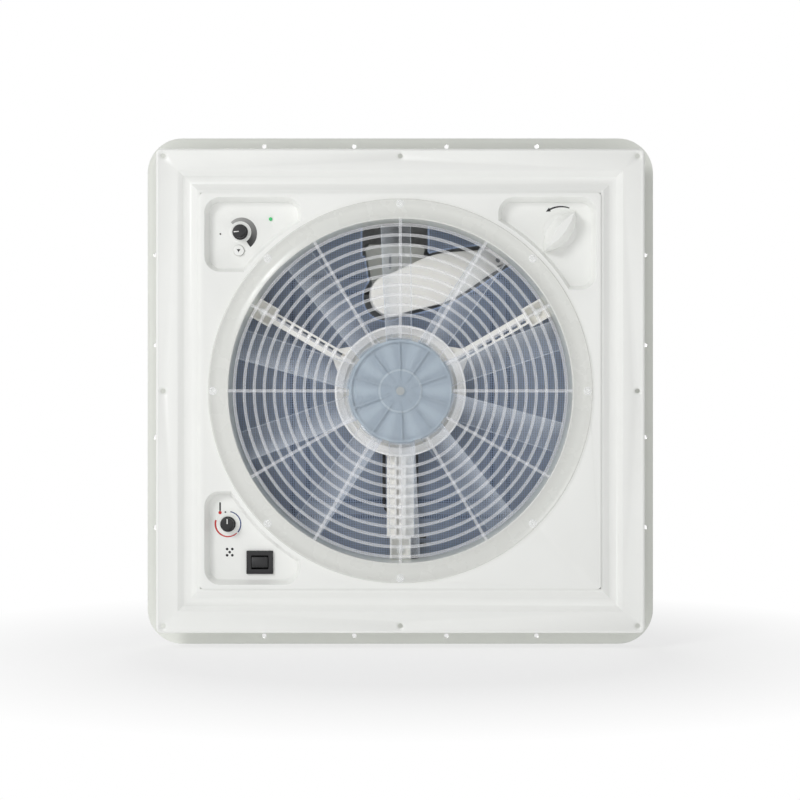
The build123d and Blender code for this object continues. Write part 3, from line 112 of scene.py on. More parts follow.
def addMath(tree, operation, first, second=None, value=0.0):
    made = tree.nodes.new("ShaderNodeMath")
    made.operation = operation
    tree.links.new(first, made.inputs[0])
    if second is None:
        made.inputs[1].default_value = value
    else:
        tree.links.new(second, made.inputs[1])
    return made.outputs["Value"]


def addVector(tree, operation, first, amount=None):
    made = tree.nodes.new("ShaderNodeVectorMath")
    made.operation = operation
    tree.links.new(first, made.inputs[0])
    if amount is not None:
        made.inputs[1].default_value = amount
    return made.outputs["Value" if operation == "LENGTH" else "Vector"]


def addShadowShare(tree, share):
    # the given share for a shadow's rays, and 1 for all others
    paths = tree.nodes.new("ShaderNodeLightPath")
    return addRange(tree, paths.outputs["Is Shadow Ray"], 1.0, share, 0.0, 1.0)


def shade(colour, factor):
    return tuple(min(1.0, value * factor) for value in colour[:3]) + (1,)


def moulded(name, colour, rough=0.35, mottle=0.03, patch=25, grain=1400, grainDepth=0.00002,
            grainStrength=0.2, metal=0.0, coat=0.0, subsurface=0.0, depth=0.004):
    material, tree, shader = startMaterial(name)
    tint = addTint(tree, addRange(tree, addNoise(tree, patch, 3.0), 0.0, 1.0),
                   shade(colour, 1 - mottle), shade(colour, 1 + mottle))
    tree.links.new(tint, shader.inputs["Base Color"])
    wear = addRange(tree, addNoise(tree, patch * 4, 4.0), rough * 0.85, rough * 1.15)
    tree.links.new(wear, shader.inputs["Roughness"])
    addBump(tree, shader, addNoise(tree, grain, 2.0), grainStrength, grainDepth)
    shader.inputs["Metallic"].default_value = metal
    shader.inputs["Coat Weight"].default_value = coat
    if subsurface:
        shader.inputs["Subsurface Weight"].default_value = subsurface
        shader.inputs["Subsurface Radius"].default_value = (depth, depth, depth)
        shader.inputs["Subsurface Scale"].default_value = 1.0
    return material


clearSettings = {
    "wearScale": 60, "smoothest": 0.7, "roughest": 1.4, "flow": 300, "flowStrength": 0.15,
    "blend": 0.35, "faceOn": 0.05, "edgeOn": 0.75,
}


def clearPlastic(name, colour, clearest, fullest, rough=0.15, shadowShare=0.3, flowDepth=0.0001):
    # thin clear mouldings: almost nothing shows where they are seen face on, and their edges shine;
    # their shadow is lighter than they look, by a given share
    s = clearSettings
    material, tree, shader = startMaterial(name)
    shader.inputs["Base Color"].default_value = colour
    wear = addRange(tree, addNoise(tree, s["wearScale"], 3.0), rough * s["smoothest"], rough * s["roughest"])
    tree.links.new(wear, shader.inputs["Roughness"])
    addBump(tree, shader, addNoise(tree, s["flow"], 2.0), s["flowStrength"], flowDepth)
    facing = tree.nodes.new("ShaderNodeLayerWeight")
    facing.inputs["Blend"].default_value = s["blend"]
    fullness = addRange(tree, facing.outputs["Facing"], clearest, fullest, s["faceOn"], s["edgeOn"])
    passed = addMath(tree, "MULTIPLY", fullness, addShadowShare(tree, shadowShare))
    tree.links.new(passed, shader.inputs["Alpha"])
    return material


def rectangleLine(tree, half, walls):
    # 1 on the outline of a rounded rectangle, 0 away from it
    corner, halfWidth = walls["corner"], walls["halfWidth"]
    vector = tree.nodes.new("ShaderNodeTexCoord").outputs["Object"]
    for operation, amount in (("SUBTRACT", (0, walls["shift"], 0)), ("ABSOLUTE", None), ("MULTIPLY", (1, 1, 0)),
                              ("SUBTRACT", (half[0] - corner, half[1] - corner, 0)), ("MAXIMUM", (0, 0, 0))):
        vector = addVector(tree, operation, vector, amount)
    size = addVector(tree, "LENGTH", vector)
    away = addMath(tree, "ABSOLUTE", addMath(tree, "SUBTRACT", size, value=corner))
    return addRange(tree, away, 1.0, 0.0, halfWidth, halfWidth + walls["blur"])


def smokePlastic(name, colour, wallShadeColour, walls):
    # a tinted shell that lets light through, with lines of painted shade on its underside where the walls
    # of its ridge are seen end on
    material = moulded(name, colour, rough=0.28, mottle=0.02, coat=0.1, subsurface=walls["passing"],
                       depth=walls["depth"])
    tree = material.node_tree
    shader = tree.nodes["Principled BSDF"]
    outer, inner = (rectangleLine(tree, half, walls) for half in walls["halves"])
    place = tree.nodes.new("ShaderNodeTexCoord")
    parts = tree.nodes.new("ShaderNodeSeparateXYZ")
    tree.links.new(place.outputs["Normal"], parts.inputs["Vector"])
    under = addMath(tree, "LESS_THAN", parts.outputs["Z"], value=walls["underside"])
    # line: painted shade where the ridge walls are seen end on
    line = addMath(tree, "MULTIPLY", addMath(tree, "MAXIMUM", outer, inner), under)
    tint = addTint(tree, line, shader.inputs["Base Color"].links[0].from_socket, wallShadeColour)
    tree.links.new(tint, shader.inputs["Base Color"])
    tree.links.new(addRange(tree, line, walls["passing"], 0.0, 0.0, 1.0), shader.inputs["Subsurface Weight"])
    return material


def radiusFromAxis(tree):
    place = tree.nodes.new("ShaderNodeTexCoord")
    flat = addVector(tree, "MULTIPLY", place.outputs["Object"], (1, 1, 0))
    return addVector(tree, "LENGTH", flat)


fanSettings = {  # radii in metres
    "hub": 0.0468, "hubBlur": 0.002, "boss": 0.019, "bossBlur": 0.004, "ringHalf": 0.0009, "dot": 0.0034,
    "ribs": 10.0, "ribStart": -0.2, "clearest": 0.05, "fullest": 0.9, "shadowShare": 0.05,
}


def fanPlastic(name, bladeColour, tonesAndHighlights):
    # one moulding whose thin blades are clear and whose thick hub is milky; the ribs and ring that show
    # through the hub are painted lighter, a painted highlight, and the shaft end is painted dark
    s = fanSettings
    material = clearPlastic(name, bladeColour, s["clearest"], s["fullest"], shadowShare=s["shadowShare"])
    tree = material.node_tree
    shader = tree.nodes["Principled BSDF"]
    radius = radiusFromAxis(tree)
    place = tree.nodes.new("ShaderNodeTexCoord")
    parts = tree.nodes.new("ShaderNodeSeparateXYZ")
    tree.links.new(place.outputs["Object"], parts.inputs["Vector"])
    turn = addMath(tree, "ARCTAN2", parts.outputs["Y"], parts.outputs["X"])
    wave = addMath(tree, "COSINE", addMath(tree, "MULTIPLY", turn, value=s["ribs"]))
    rib = addMath(tree, "MULTIPLY", addRange(tree, wave, 0.0, 1.0, s["ribStart"], 1.0),
                  addRange(tree, radius, 0.0, 1.0, s["boss"], s["boss"] + s["bossBlur"]))
    tone = addTint(tree, rib, tonesAndHighlights["base"], tonesAndHighlights["rib"])
    # ring: a painted highlight around the boss
    ring = addMath(tree, "COMPARE", radius, value=s["boss"])
    ring.node.inputs[2].default_value = s["ringHalf"]
    tone = addTint(tree, ring, tone, tonesAndHighlights["ring"])
    tone = addTint(tree, addMath(tree, "LESS_THAN", radius, value=s["dot"]), tone, tonesAndHighlights["dot"])
    blade = addRange(tree, radius, 0.0, 1.0, s["hub"], s["hub"] + s["hubBlur"])
    tree.links.new(addTint(tree, blade, tone, bladeColour), shader.inputs["Base Color"])
    facing = shader.inputs["Alpha"].links[0].from_socket
    mix = tree.nodes.new("ShaderNodeMix")
    mix.inputs["A"].default_value = 1.0
    tree.links.new(blade, mix.inputs["Factor"])
    tree.links.new(facing, mix.inputs["B"])
    tree.links.new(mix.outputs["Result"], shader.inputs["Alpha"])
    return material


def openWeave(name, colour, shadowShare):
    # a fine net whose shadow is lighter than its strands would make it, by a given share
    material = moulded(name, colour, rough=0.6, mottle=0.05)
    tree = material.node_tree
    tree.links.new(addShadowShare(tree, shadowShare), tree.nodes["Principled BSDF"].inputs["Alpha"])
    return material


def fadingPrint(name, start, end):
    # a printed scale that goes from one shade to the other along its length
    material, tree, shader = startMaterial(name)
    place = tree.nodes.new("ShaderNodeUVMap")
    parts = tree.nodes.new("ShaderNodeSeparateXYZ")
    tree.links.new(place.outputs["UV"], parts.inputs["Vector"])
    tree.links.new(addTint(tree, parts.outputs["X"], start, end), shader.inputs["Base Color"])
    tree.links.new(addRange(tree, addNoise(tree, 400, 2.0), 0.4, 0.55), shader.inputs["Roughness"])
    return material


whitePlastic = moulded("whitePlastic", seen(246, 247, 244), rough=0.33, mottle=0.008, subsurface=0.05)
frameWhite = moulded("frameWhite", seen(236, 238, 232), rough=0.38, mottle=0.012)
# lighter than whitePlastic: painted light against the shade that the grille and fan cast on the parts behind
# them
armWhiteWithPaintedLight = moulded("armWhiteWithPaintedLight", seen(250, 248, 243), rough=0.4, mottle=0.01)
ridgeWalls = {  # in metres, for the lines of painted shade on the ridge walls; "passing" is how much light the shell lets through away from the lines
    "halves": ((0.1038, 0.1153), (0.0885, 0.1)), "shift": 0.005, "corner": 0.009, "halfWidth": 0.0017,
    "blur": 0.0004, "underside": -0.5, "passing": 0.4, "depth": 0.005,
}
# the dome's dark line colour is painted shade on the walls of its ridge
domeGrey = smokePlastic("domeGrey", seen(142, 144, 145), seen(8, 8, 10), ridgeWalls)
sealRubber = moulded("sealRubber", seen(38, 38, 39), rough=0.75, mottle=0.1, grain=900, grainDepth=0.00006)
clearGrille = clearPlastic("clearGrille", seen(252, 253, 255), 0.2, 1.0, rough=0.12, shadowShare=0.14)
rimPlastic = clearPlastic("rimPlastic", seen(232, 233, 229), 0.8, 1.0, rough=0.25, flowDepth=0.00003)
frostedDisc = clearPlastic("frostedDisc", seen(206, 217, 228), 0.1, 0.9, rough=0.4)
# the hub's rib and ring tones are painted highlight, lighter than its base
hubTonesAndHighlights = {
    "base": seen(167, 180, 191), "rib": seen(183, 196, 206), "ring": seen(196, 207, 214),
    "dot": seen(96, 100, 104),
}
clearBlade = fanPlastic("clearBlade", seen(232, 238, 246), hubTonesAndHighlights)
printBlack = moulded("printBlack", seen(28, 28, 30), rough=0.5, mottle=0.05, patch=300)
printRed = moulded("printRed", seen(196, 44, 40), rough=0.5, mottle=0.05, patch=300)
printNavy = moulded("printNavy", seen(40, 62, 120), rough=0.5, mottle=0.05, patch=300)
printScale = fadingPrint("printScale", seen(178, 178, 176), seen(24, 24, 26))
pointerWhite = moulded("pointerWhite", seen(240, 240, 238), rough=0.5, mottle=0.02, patch=300)
greyPlastic = moulded("greyPlastic", seen(190, 191, 186), rough=0.45, mottle=0.02)
darkGreyPlastic = moulded("darkGreyPlastic", seen(84, 86, 90), rough=0.5, mottle=0.04)
blackPlastic = moulded("blackPlastic", seen(20, 20, 22), rough=0.45, mottle=0.06)
netGrey = openWeave("netGrey", seen(166, 183, 212), 0.2)
zincSteel = moulded("zincSteel", seen(196, 197, 194), rough=0.32, mottle=0.06, patch=120, metal=1.0)
sinteredBronze = moulded("sinteredBronze", seen(186, 142, 88), rough=0.42, mottle=0.08, patch=200, metal=1.0)
darkFerrite = moulded("darkFerrite", seen(62, 62, 66), rough=0.6, mottle=0.1, patch=150)
copperWinding = moulded("copperWinding", seen(190, 110, 70), rough=0.35, mottle=0.15, patch=300, metal=1.0)
boardGreen = moulded("boardGreen", seen(34, 96, 62), rough=0.4, mottle=0.06, patch=200, coat=0.3)
lampGreen = moulded("lampGreen", seen(70, 205, 120), rough=0.15, mottle=0.03, coat=0.5)
tinnedBrass = moulded("tinnedBrass", seen(214, 206, 178), rough=0.3, mottle=0.05, patch=200, metal=1.0)
leadBlack = moulded("leadBlack", seen(30, 30, 32), rough=0.5, mottle=0.08, grain=2000)
print("materials made")

slotFinish = {
    "frame_white": frameWhite, "trim_white": whitePlastic, "arm_white": armWhiteWithPaintedLight, "dome_grey": domeGrey,
    "seal_black": sealRubber, "clear_plastic": clearGrille, "blade_clear": clearBlade,
    "grey_plastic": greyPlastic,
    "dark_grey_plastic": darkGreyPlastic, "black_plastic": blackPlastic, "net_grey": netGrey,
    "zinc_steel": zincSteel, "bronze": sinteredBronze, "magnet": darkFerrite, "copper": copperWinding,
    "board_green": boardGreen, "lamp_green": lampGreen, "tinned_brass": tinnedBrass, "lead_black": leadBlack,
}


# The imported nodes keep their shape, and get their finish and small edge radii

edgeRadius = {  # in millimetres; nodes that are not listed keep their edges
    "interior_trim": 0.2, "motor_spider": 0.4, "lift_arm": 0.4,
    "lift_bracket": 0.4, "dome_shell": 0.6, "net_frame": 0.3, "gearbox_body": 0.3, "gearbox_cover": 0.3,
    "switch_body": 0.5, "rocker": 0.3, "speed_knob": 0.4, "thermostat_knob": 0.4, "push_button": 0.3,
    "terminal_block": 0.3, "motor_can": 0.5, "motor_cap": 0.5,
}
dressSettings = {"weld": 0.000004, "edgeSegments": 3, "edgeAngle": 40}


def splitEdges(piece, angle=32):
    split = piece.modifiers.new("split", "EDGE_SPLIT")
    split.split_angle = radians(angle)


def dressNode(node, material):
    piece = nodes[node]
    mesh = piece.data
    if mesh.attributes.get("custom_normal"):
        mesh.attributes.remove(mesh.attributes["custom_normal"])
    mesh.materials.clear()
    mesh.materials.append(material)
    for face in mesh.polygons:
        face.material_index = 0
        face.use_smooth = True
    weld = piece.modifiers.new("weld", "WELD")
    weld.merge_threshold = dressSettings["weld"]
    if node in edgeRadius:
        edges = piece.modifiers.new("edges", "BEVEL")
        edges.width = edgeRadius[node] * mm
        edges.segments = dressSettings["edgeSegments"]
        edges.limit_method = "ANGLE"
        edges.angle_limit = radians(dressSettings["edgeAngle"])
        edges.use_clamp_overlap = False
        edges.profile = 0.5
    splitEdges(piece)


for node in nodes:
    dressNode(node, slotFinish[slotOf[node]])
print("nodes dressed")


# Pieces made here

def newPiece(name, bm, material, body, replaced=(), smooth=True):
    mesh = bpy.data.meshes.new(name)
    bmesh.ops.recalc_face_normals(bm, faces=bm.faces)
    bm.to_mesh(mesh)
    bm.free()
    for face in mesh.polygons:
        face.use_smooth = smooth
    mesh.materials.append(material)
    piece = bpy.data.objects.new(name, mesh)
    bpy.context.scene.collection.objects.link(piece)
    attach(piece, body)
    if replaced:
        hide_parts(*replaced)
    return piece


def roundedLoop(inner, outer, low, high, radius, steps=3):
    corners = [(outer - radius, low + radius, -90), (outer - radius, high - radius, 0),
               (inner + radius, high - radius, 90), (inner + radius, low + radius, 180)]
    loop = []
    for r, z, first in corners:
        for step in range(steps + 1):
            turn = radians(first + 90 * step / steps)
            loop.append((r + radius * cos(turn), z + radius * sin(turn)))
    return loop


def spinLoop(bm, loop, steps, closed=True):
    verts = [bm.verts.new((r * mm, 0, z * mm)) for r, z in loop]
    pairs = list(zip(verts, verts[1:] + verts[:1])) if closed else list(zip(verts, verts[1:]))
    edges = [bm.edges.new(pair) for pair in pairs]
    bmesh.ops.spin(bm, geom=verts + edges, cent=(0, 0, 0), axis=(0, 0, 1), angle=2 * pi, steps=steps,
                   use_merge=True)


def addBar(bm, place, size, edge, segments=2):
    made = bmesh.ops.create_cube(bm, size=1, matrix=place @ Matrix.Diagonal((size[0], size[1], size[2], 1)))
    if edge:
        edges = list({side for vert in made["verts"] for side in vert.link_edges})
        bmesh.ops.bevel(bm, geom=edges, offset=edge, segments=segments, profile=0.5, affect="EDGES",
                        material=-1)


def turned(degreesTurn):
    return Matrix.Rotation(radians(degreesTurn), 4, "Z")


def moved(x, y, z):
    return Matrix.Translation((x * mm, y * mm, z * mm))


grilleSettings = {  # in millimetres; edges and profiles are pairs of radius and height from the front
    "front": -47.5, "back": -45.02, "rimInner": 154.5, "rimOuter": 172.5, "lipWidth": 1.5, "lipRise": 0.5,
    "rimBevel": 0.35, "bandInner": 51.3, "bandOuter": 59.0, "ringCount": 10, "ringFirst": 68.2,
    "ringPitch": 8.98, "ringWidth": 2.6, "ringDepth": 2.2, "ringRound": 0.75, "spokeCount": 12,
    "spokeWidth": 2.6, "spokeRound": 0.6, "spokeIntoDisc": 1.0, "spokeIntoRim": 0.6, "discRadius": 48.5,
    "discDepth": 1.8, "discCrown": 0.3, "discAxis": 0.01, "discEdge": ((0.0, 0.6), (0.25, 0.2), (0.8, 0.0)),
    "screwCircle": 168.0, "screwCount": 8,
    "screwProfile": ((0.05, 0.4), (0.8, 0.4), (1.1, 1.5), (2.0, 1.395), (2.9, 1.05), (3.4, 0.54), (3.6, 0.0),
                     (0.05, 0.0)),
    "steps": 144, "screwSteps": 32,
}


def makeGrilleRim():
    s = grilleSettings
    inner, outer, front, back = s["rimInner"], s["rimOuter"], s["front"], s["back"]
    lip, rise, bevel = s["lipWidth"], s["lipRise"], s["rimBevel"]
    rim = [(inner, back), (inner, front + bevel), (inner + bevel, front), (inner + lip, front),
           (inner + lip + rise, front + rise), (outer - lip - rise, front + rise), (outer - lip, front),
           (outer - bevel, front), (outer, front + bevel), (outer, back)]
    bm = bmesh.new()
    spinLoop(bm, rim, s["steps"])
    splitEdges(newPiece("grilleRim", bm, rimPlastic, "base", ["grille"]), 50)


def makeGrilleBars():
    s = grilleSettings
    front, back, half = s["front"], s["back"], s["ringWidth"] / 2
    bm = bmesh.new()
    spinLoop(bm, roundedLoop(s["bandInner"], s["bandOuter"], front, back, s["ringRound"]), s["steps"])
    for index in range(s["ringCount"]):
        middle = s["ringFirst"] + index * s["ringPitch"]
        ring = roundedLoop(middle - half, middle + half, front, front + s["ringDepth"], s["ringRound"])
        spinLoop(bm, ring, s["steps"])
    low, high = s["discRadius"] - s["spokeIntoDisc"], s["rimInner"] + s["spokeIntoRim"]
    size = ((high - low) * mm, s["spokeWidth"] * mm, (back - front) * mm)
    for index in range(s["spokeCount"]):
        place = turned(360 * index / s["spokeCount"]) @ moved((low + high) / 2, 0, (front + back) / 2)
        addBar(bm, place, size, s["spokeRound"] * mm)
    splitEdges(newPiece("clearGrille", bm, clearGrille, "base", ["grille"]), 50)


def makeGrilleDisc():
    s = grilleSettings
    low, high, radius = s["front"], s["front"] + s["discDepth"], s["discRadius"]
    crown = [(s["discAxis"], high), (radius, high)]
    crown += [(radius - inward, low + rise) for inward, rise in s["discEdge"]]
    crown += [(radius * share, low + s["discCrown"] * (1 - share * share)) for share in (0.8, 0.6, 0.4, 0.2)]
    crown.append((s["discAxis"], low + s["discCrown"]))
    bm = bmesh.new()
    spinLoop(bm, crown, s["steps"])
    splitEdges(newPiece("grilleDisc", bm, frostedDisc, "base", ["grille"]))


def makeGrilleScrews():
    s = grilleSettings
    profile = [(radius, s["front"] - rise) for radius, rise in s["screwProfile"]]
    bm = bmesh.new()
    for index in range(s["screwCount"]):
        before = len(bm.verts)
        spinLoop(bm, profile, s["screwSteps"])
        bm.verts.ensure_lookup_table()
        turn = turned(360 * index / s["screwCount"])
        bmesh.ops.transform(bm, matrix=turn @ moved(s["screwCircle"], 0, 0), verts=bm.verts[before:])
    splitEdges(newPiece("grilleScrewHeads", bm, clearGrille, "base", ["grille_screws"]), 40)


makeGrilleRim()
makeGrilleBars()
makeGrilleDisc()
makeGrilleScrews()
print("grille made")


netSettings = {  # in millimetres
    "radius": 159.4, "eye": 31.7, "pitch": 1.6, "strand": 0.26, "uprightStrand": 0.42, "level": 12.3,
    "layer": 0.14, "hemWidth": 1.4, "hemDepth": 0.5, "scan": 0.25,
    "knob": (144.0, -144.0), "tip": (-13.0, -87.0), "gear": 28.5, "slotGap": 3.0, "bellyPlace": 92.0,
    "bellyHalf": 22.5, "rootHalf": 7.5, "tipHalf": 19.0, "neckStart": 4.0,
    "bracketX": -5.0, "bracketFar": -137.0, "bracketNear": -84.0, "farHalf": 28.0, "nearHalf": 18.0,
    "bracketGap": 12.0,
}


def slotHalf(along, length):
    # half the slot's width beside the lift arm, on the curve of the arm's own outline
    s = netSettings
    gap = s["slotGap"]
    heel, belly = s["neckStart"] - gap, s["bellyPlace"]
    low, middle, high = s["rootHalf"] + gap, s["bellyHalf"] + gap, s["tipHalf"] + gap
    if along > length:
        rest = high * high - (along - length) ** 2
        return sqrt(rest) if rest > 0 else -1
    if along < heel:
        return -1
    first, second = belly - heel, length - belly
    slope = 3 * ((middle - low) / first ** 2 + (high - middle) / second ** 2) / (2 / first + 2 / second)
    if along < belly:
        start, end, span, place, slopes = low, middle, first, (along - heel) / first, (0, slope)
    else:
        start, end, span, place, slopes = middle, high, second, (along - belly) / second, (slope, 0)
    square, cube = place ** 2, place ** 3
    return (start * (2 * cube - 3 * square + 1) + end * (3 * square - 2 * cube)
            + span * (slopes[0] * (cube - 2 * square + place) + slopes[1] * (cube - square)))


def makeCutTest():
    s = netSettings
    knobX, knobY = s["knob"]
    run = hypot(s["tip"][0] - knobX, s["tip"][1] - knobY)
    alongX, alongY = (s["tip"][0] - knobX) / run, (s["tip"][1] - knobY) / run
    pivotX, pivotY = knobX + s["gear"] * alongX, knobY + s["gear"] * alongY
    length, gap = run - s["gear"], s["slotGap"]
    far, near = s["bracketFar"] - gap, s["bracketNear"] + gap
    farHalf, nearHalf = s["farHalf"] + gap, s["nearHalf"] + gap

    def cutAt(x, y):
        dx, dy = x - pivotX, y - pivotY
        along, across = dx * alongX + dy * alongY, dy * alongX - dx * alongY
        if abs(across) < slotHalf(along, length):
            return True
        side = abs(x - s["bracketX"])
        if y < s["bracketFar"] + s["bracketGap"] and side < farHalf:
            return True
        return far < y < near and side < farHalf + (nearHalf - farHalf) * (y - far) / (near - far)
    return cutAt


def makeNet():
    s = netSettings
    cutAt = makeCutTest()

    def netAt(x, y):
        distance = hypot(x, y)
        return s["eye"] < distance < s["radius"] and not cutAt(x, y)

    bm = bmesh.new()
    hem = bmesh.new()
    count = int(s["radius"] / s["pitch"])
    samples = int(2 * s["radius"] / s["scan"])
    for upright in (False, True):
        level = s["level"] + (s["layer"] if upright else -s["layer"])
        strand = s["uprightStrand"] if upright else s["strand"]
        for index in range(-count, count + 1):
            line = index * s["pitch"]
            start = None
            for sample in range(samples + 2):
                place = -s["radius"] + sample * s["scan"]
                inside = netAt(line, place) if upright else netAt(place, line)
                if inside and start is None:
                    start = place
                if not inside and start is not None:
                    middle, length = (start + place) / 2, place - start
                    if length > s["pitch"]:
                        x, y = (line, middle) if upright else (middle, line)
                        size = (strand, length, s["layer"] * 2) if upright else (length, strand, s["layer"] * 2)
                        addBar(bm, moved(x, y, level), [value * mm for value in size], 0)
                        for end in (start, place):
                            endX, endY = (line, end) if upright else (end, line)
                            addBar(hem, moved(endX, endY, s["level"]),
                                   (s["hemWidth"] * mm, s["hemWidth"] * mm, s["hemDepth"] * mm), 0)
                    start = None
    newPiece("insectNetStrands", bm, netGrey, "base", ["insect_net"], smooth=False)
    newPiece("insectNetHem", hem, netGrey, "base", ["insect_net"], smooth=False)


makeNet()
print("net made")


# Printed marks, a thin layer on the recess floors, the button and the knobs

markSettings = {  # in millimetres, angles clockwise from the right as the camera sees them
    "floor": -34.0, "thick": 0.06, "speedKnob": (-144.6, -143.4), "thermostatKnob": (-155.6, 120.3),
    "openingKnob": (144.0, -144.0), "button": (-146.0, -126.9), "buttonFace": -36.2, "knobFace": -44.1,
    # a band's first and last angle, its inner radius, and its outer radius at each end
    "speedBand": (-133.8, 56.3, 9.9, 12.4, 16.2), "coldBand": (-80, 40, 10.9, 11.8, 12.0),
    "warmBand": (46, 198, 10.8, 11.7, 12.4), "arrowBand": (-72.0, -118.0, 21.9, 22.9, 23.5),
    "arrowShift": 1.8, "arrowRadius": 22.6, "arrowHalf": 1.9, "arrowLength": 4.2,
    # a dot's place from its knob, and its radius
    "speedDot": (-18.0, 1.6, 0.8), "thermostatDot": (-2.5, -10.8, 0.8), "warmDot": (-7.3, -10.4, 1.5),
    "frostDots": ((1.4, 25.4), (-0.95, 22.6), (3.75, 22.6), (-0.95, 28.2), (3.75, 28.2)), "frostRadius": 1.2,
    "dash": ((-8.0, -19.6), (-6.6, -19.6), (-6.6, -12.0), (-8.0, -12.0)),
    "sign": ((-1.7, -1.1), (1.7, -1.1), (0, 1.7)),
    "pointerPlace": 2.9, "pointerSize": (4.6, 0.9, 0.16), "pointerEdge": 0.06,
}
pointers = [  # name, body, knob, turn
    ("speedPointer", "speed_knob", "speedKnob", 175.0),
    ("thermostatPointer", "thermostat_knob", "thermostatKnob", -90.0),
]


def addFlat(bm, points, level, rise):
    verts = [bm.verts.new((x * mm, y * mm, level * mm)) for x, y in points]
    face = bm.faces.new(verts)
    made = bmesh.ops.extrude_face_region(bm, geom=[face])
    raised = [part for part in made["geom"] if isinstance(part, bmesh.types.BMVert)]
    bmesh.ops.translate(bm, vec=(0, 0, -rise * mm), verts=raised)


def addMark(bm, points, level=None):
    base = markSettings["floor"] if level is None else level
    addFlat(bm, points, base, markSettings["thick"])


def roundPoints(x, y, radius, steps=20):
    turns = [2 * pi * step / steps for step in range(steps)]
    return [(x + radius * cos(turn), y + radius * sin(turn)) for turn in turns]


def placed(centre, points):
    return [(centre[0] + x, centre[1] + y) for x, y in points]


def addDot(bm, centre, x, y, radius):
    addMark(bm, roundPoints(centre[0] + x, centre[1] + y, radius))


def addBand(bm, centre, first, last, inner, outerStart, outerEnd, steps=32):
    # a curved band in short lengths; its UV runs from 0 to 1 along it
    layer = bm.loops.layers.uv.verify()
    base, top = markSettings["floor"] * mm, (markSettings["floor"] - markSettings["thick"]) * mm
    rows = []
    for step in range(steps + 1):
        share = step / steps
        turn = radians(first + (last - first) * share)
        outer = outerStart + (outerEnd - outerStart) * share
        ends = [(centre[0] + radius * cos(turn), centre[1] + radius * sin(turn)) for radius in (inner, outer)]
        row = [bm.verts.new((x * mm, y * mm, z)) for x, y in ends for z in (base, top)]
        rows.append((share, row))
    for (shareA, a), (shareB, b) in zip(rows, rows[1:]):
        for one, two in ((0, 1), (1, 3), (3, 2), (2, 0)):
            face = bm.faces.new((a[one], a[two], b[two], b[one]))
            for corner in face.loops:
                corner[layer].uv = (shareA if corner.vert in a else shareB, 0)
    bm.faces.new((rows[0][1][0], rows[0][1][2], rows[0][1][3], rows[0][1][1]))
    bm.faces.new((rows[-1][1][0], rows[-1][1][1], rows[-1][1][3], rows[-1][1][2]))


def makeMarks():
    s = markSettings
    bm = bmesh.new()
    addBand(bm, s["speedKnob"], *s["speedBand"])
    newPiece("speedScale", bm, printScale, "base", smooth=False)
    bm = bmesh.new()
    addDot(bm, s["speedKnob"], *s["speedDot"])
    addDot(bm, s["thermostatKnob"], *s["thermostatDot"])
    for x, y in s["frostDots"]:
        addDot(bm, s["thermostatKnob"], x, y, s["frostRadius"])
    addMark(bm, placed(s["thermostatKnob"], s["dash"]))
    newPiece("smallDots", bm, printBlack, "base", smooth=False)
    bm = bmesh.new()
    centre = (s["openingKnob"][0] + s["arrowShift"], s["openingKnob"][1])
    addBand(bm, centre, *s["arrowBand"])
    headTurn = radians(s["arrowBand"][1])
    outX, outY = cos(headTurn), sin(headTurn)
    half, length = s["arrowHalf"], s["arrowLength"]
    head = (centre[0] + s["arrowRadius"] * outX, centre[1] + s["arrowRadius"] * outY)
    addMark(bm, placed(head, ((outX * half, outY * half), (-outX * half, -outY * half),
                              (outY * length, -outX * length))))
    newPiece("openingArrow", bm, printBlack, "base", smooth=False)
    bm = bmesh.new()
    addBand(bm, s["thermostatKnob"], *s["coldBand"])
    newPiece("coldScale", bm, printNavy, "base", smooth=False)
    bm = bmesh.new()
    addBand(bm, s["thermostatKnob"], *s["warmBand"])
    addDot(bm, s["thermostatKnob"], *s["warmDot"])
    newPiece("warmScale", bm, printRed, "base", smooth=False)
    bm = bmesh.new()
    addMark(bm, placed(s["button"], s["sign"]), s["buttonFace"])
    newPiece("buttonSign", bm, printBlack, "push_button", smooth=False)
    for name, body, knob, turn in pointers:
        bm = bmesh.new()
        place = moved(*s[knob], s["knobFace"]) @ turned(turn) @ moved(s["pointerPlace"], 0, 0)
        addBar(bm, place, [value * mm for value in s["pointerSize"]], s["pointerEdge"] * mm, 1)
        newPiece(name, bm, pointerWhite, body)


makeMarks()
print("marks made")


# Stage, camera and light

cameraSettings = {
    "lens": 85.0,
    "sensor": 36.0,
    "distance": 1.696,  # from the trim's front
    "sideways": -0.0003,
    "down": 0.0082,  # the photograph's middle lies a little below the vent's
    "clip": (0.05, 50),
}
stageSettings = {
    "floorPlace": 0.2335,  # the vent stands on its hinge edge, as in the photograph
    "floorSize": 3.0,
    "floorColour": (0.8, 0.8, 0.8, 1),
    "floorFadeStart": 0.25,
    "floorFadeEnd": 0.5,
    "floorGlow": 0.66,
    "skyForObject": 0.36,
}
lamps = [  # name, place, size, power
    ("keyLamp", (-1.5, -1.2, -2.0), 0.9, 25.5),
    ("fillLamp", (-0.2, 0.6, -2.6), 1.6, 6.5),
    ("domeLamp", (-0.2, -0.3, 1.3), 1.0, 12.0),
]


def makeCamera():
    s = cameraSettings
    data = bpy.data.cameras.new("camera")
    data.lens = s["lens"]
    data.sensor_width = s["sensor"]
    data.clip_start, data.clip_end = s["clip"]
    camera = bpy.data.objects.new("camera", data)
    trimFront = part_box("interior_trim")[0].z
    camera.location = (s["sideways"], s["down"], trimFront - s["distance"])
    right, up, back = Vector((1, 0, 0)), Vector((0, -1, 0)), Vector((0, 0, -1))
    turn = Matrix((right, up, back)).transposed()
    camera.rotation_mode = "QUATERNION"
    camera.rotation_quaternion = turn.to_quaternion()
    bpy.context.scene.collection.objects.link(camera)
    bpy.context.scene.camera = camera


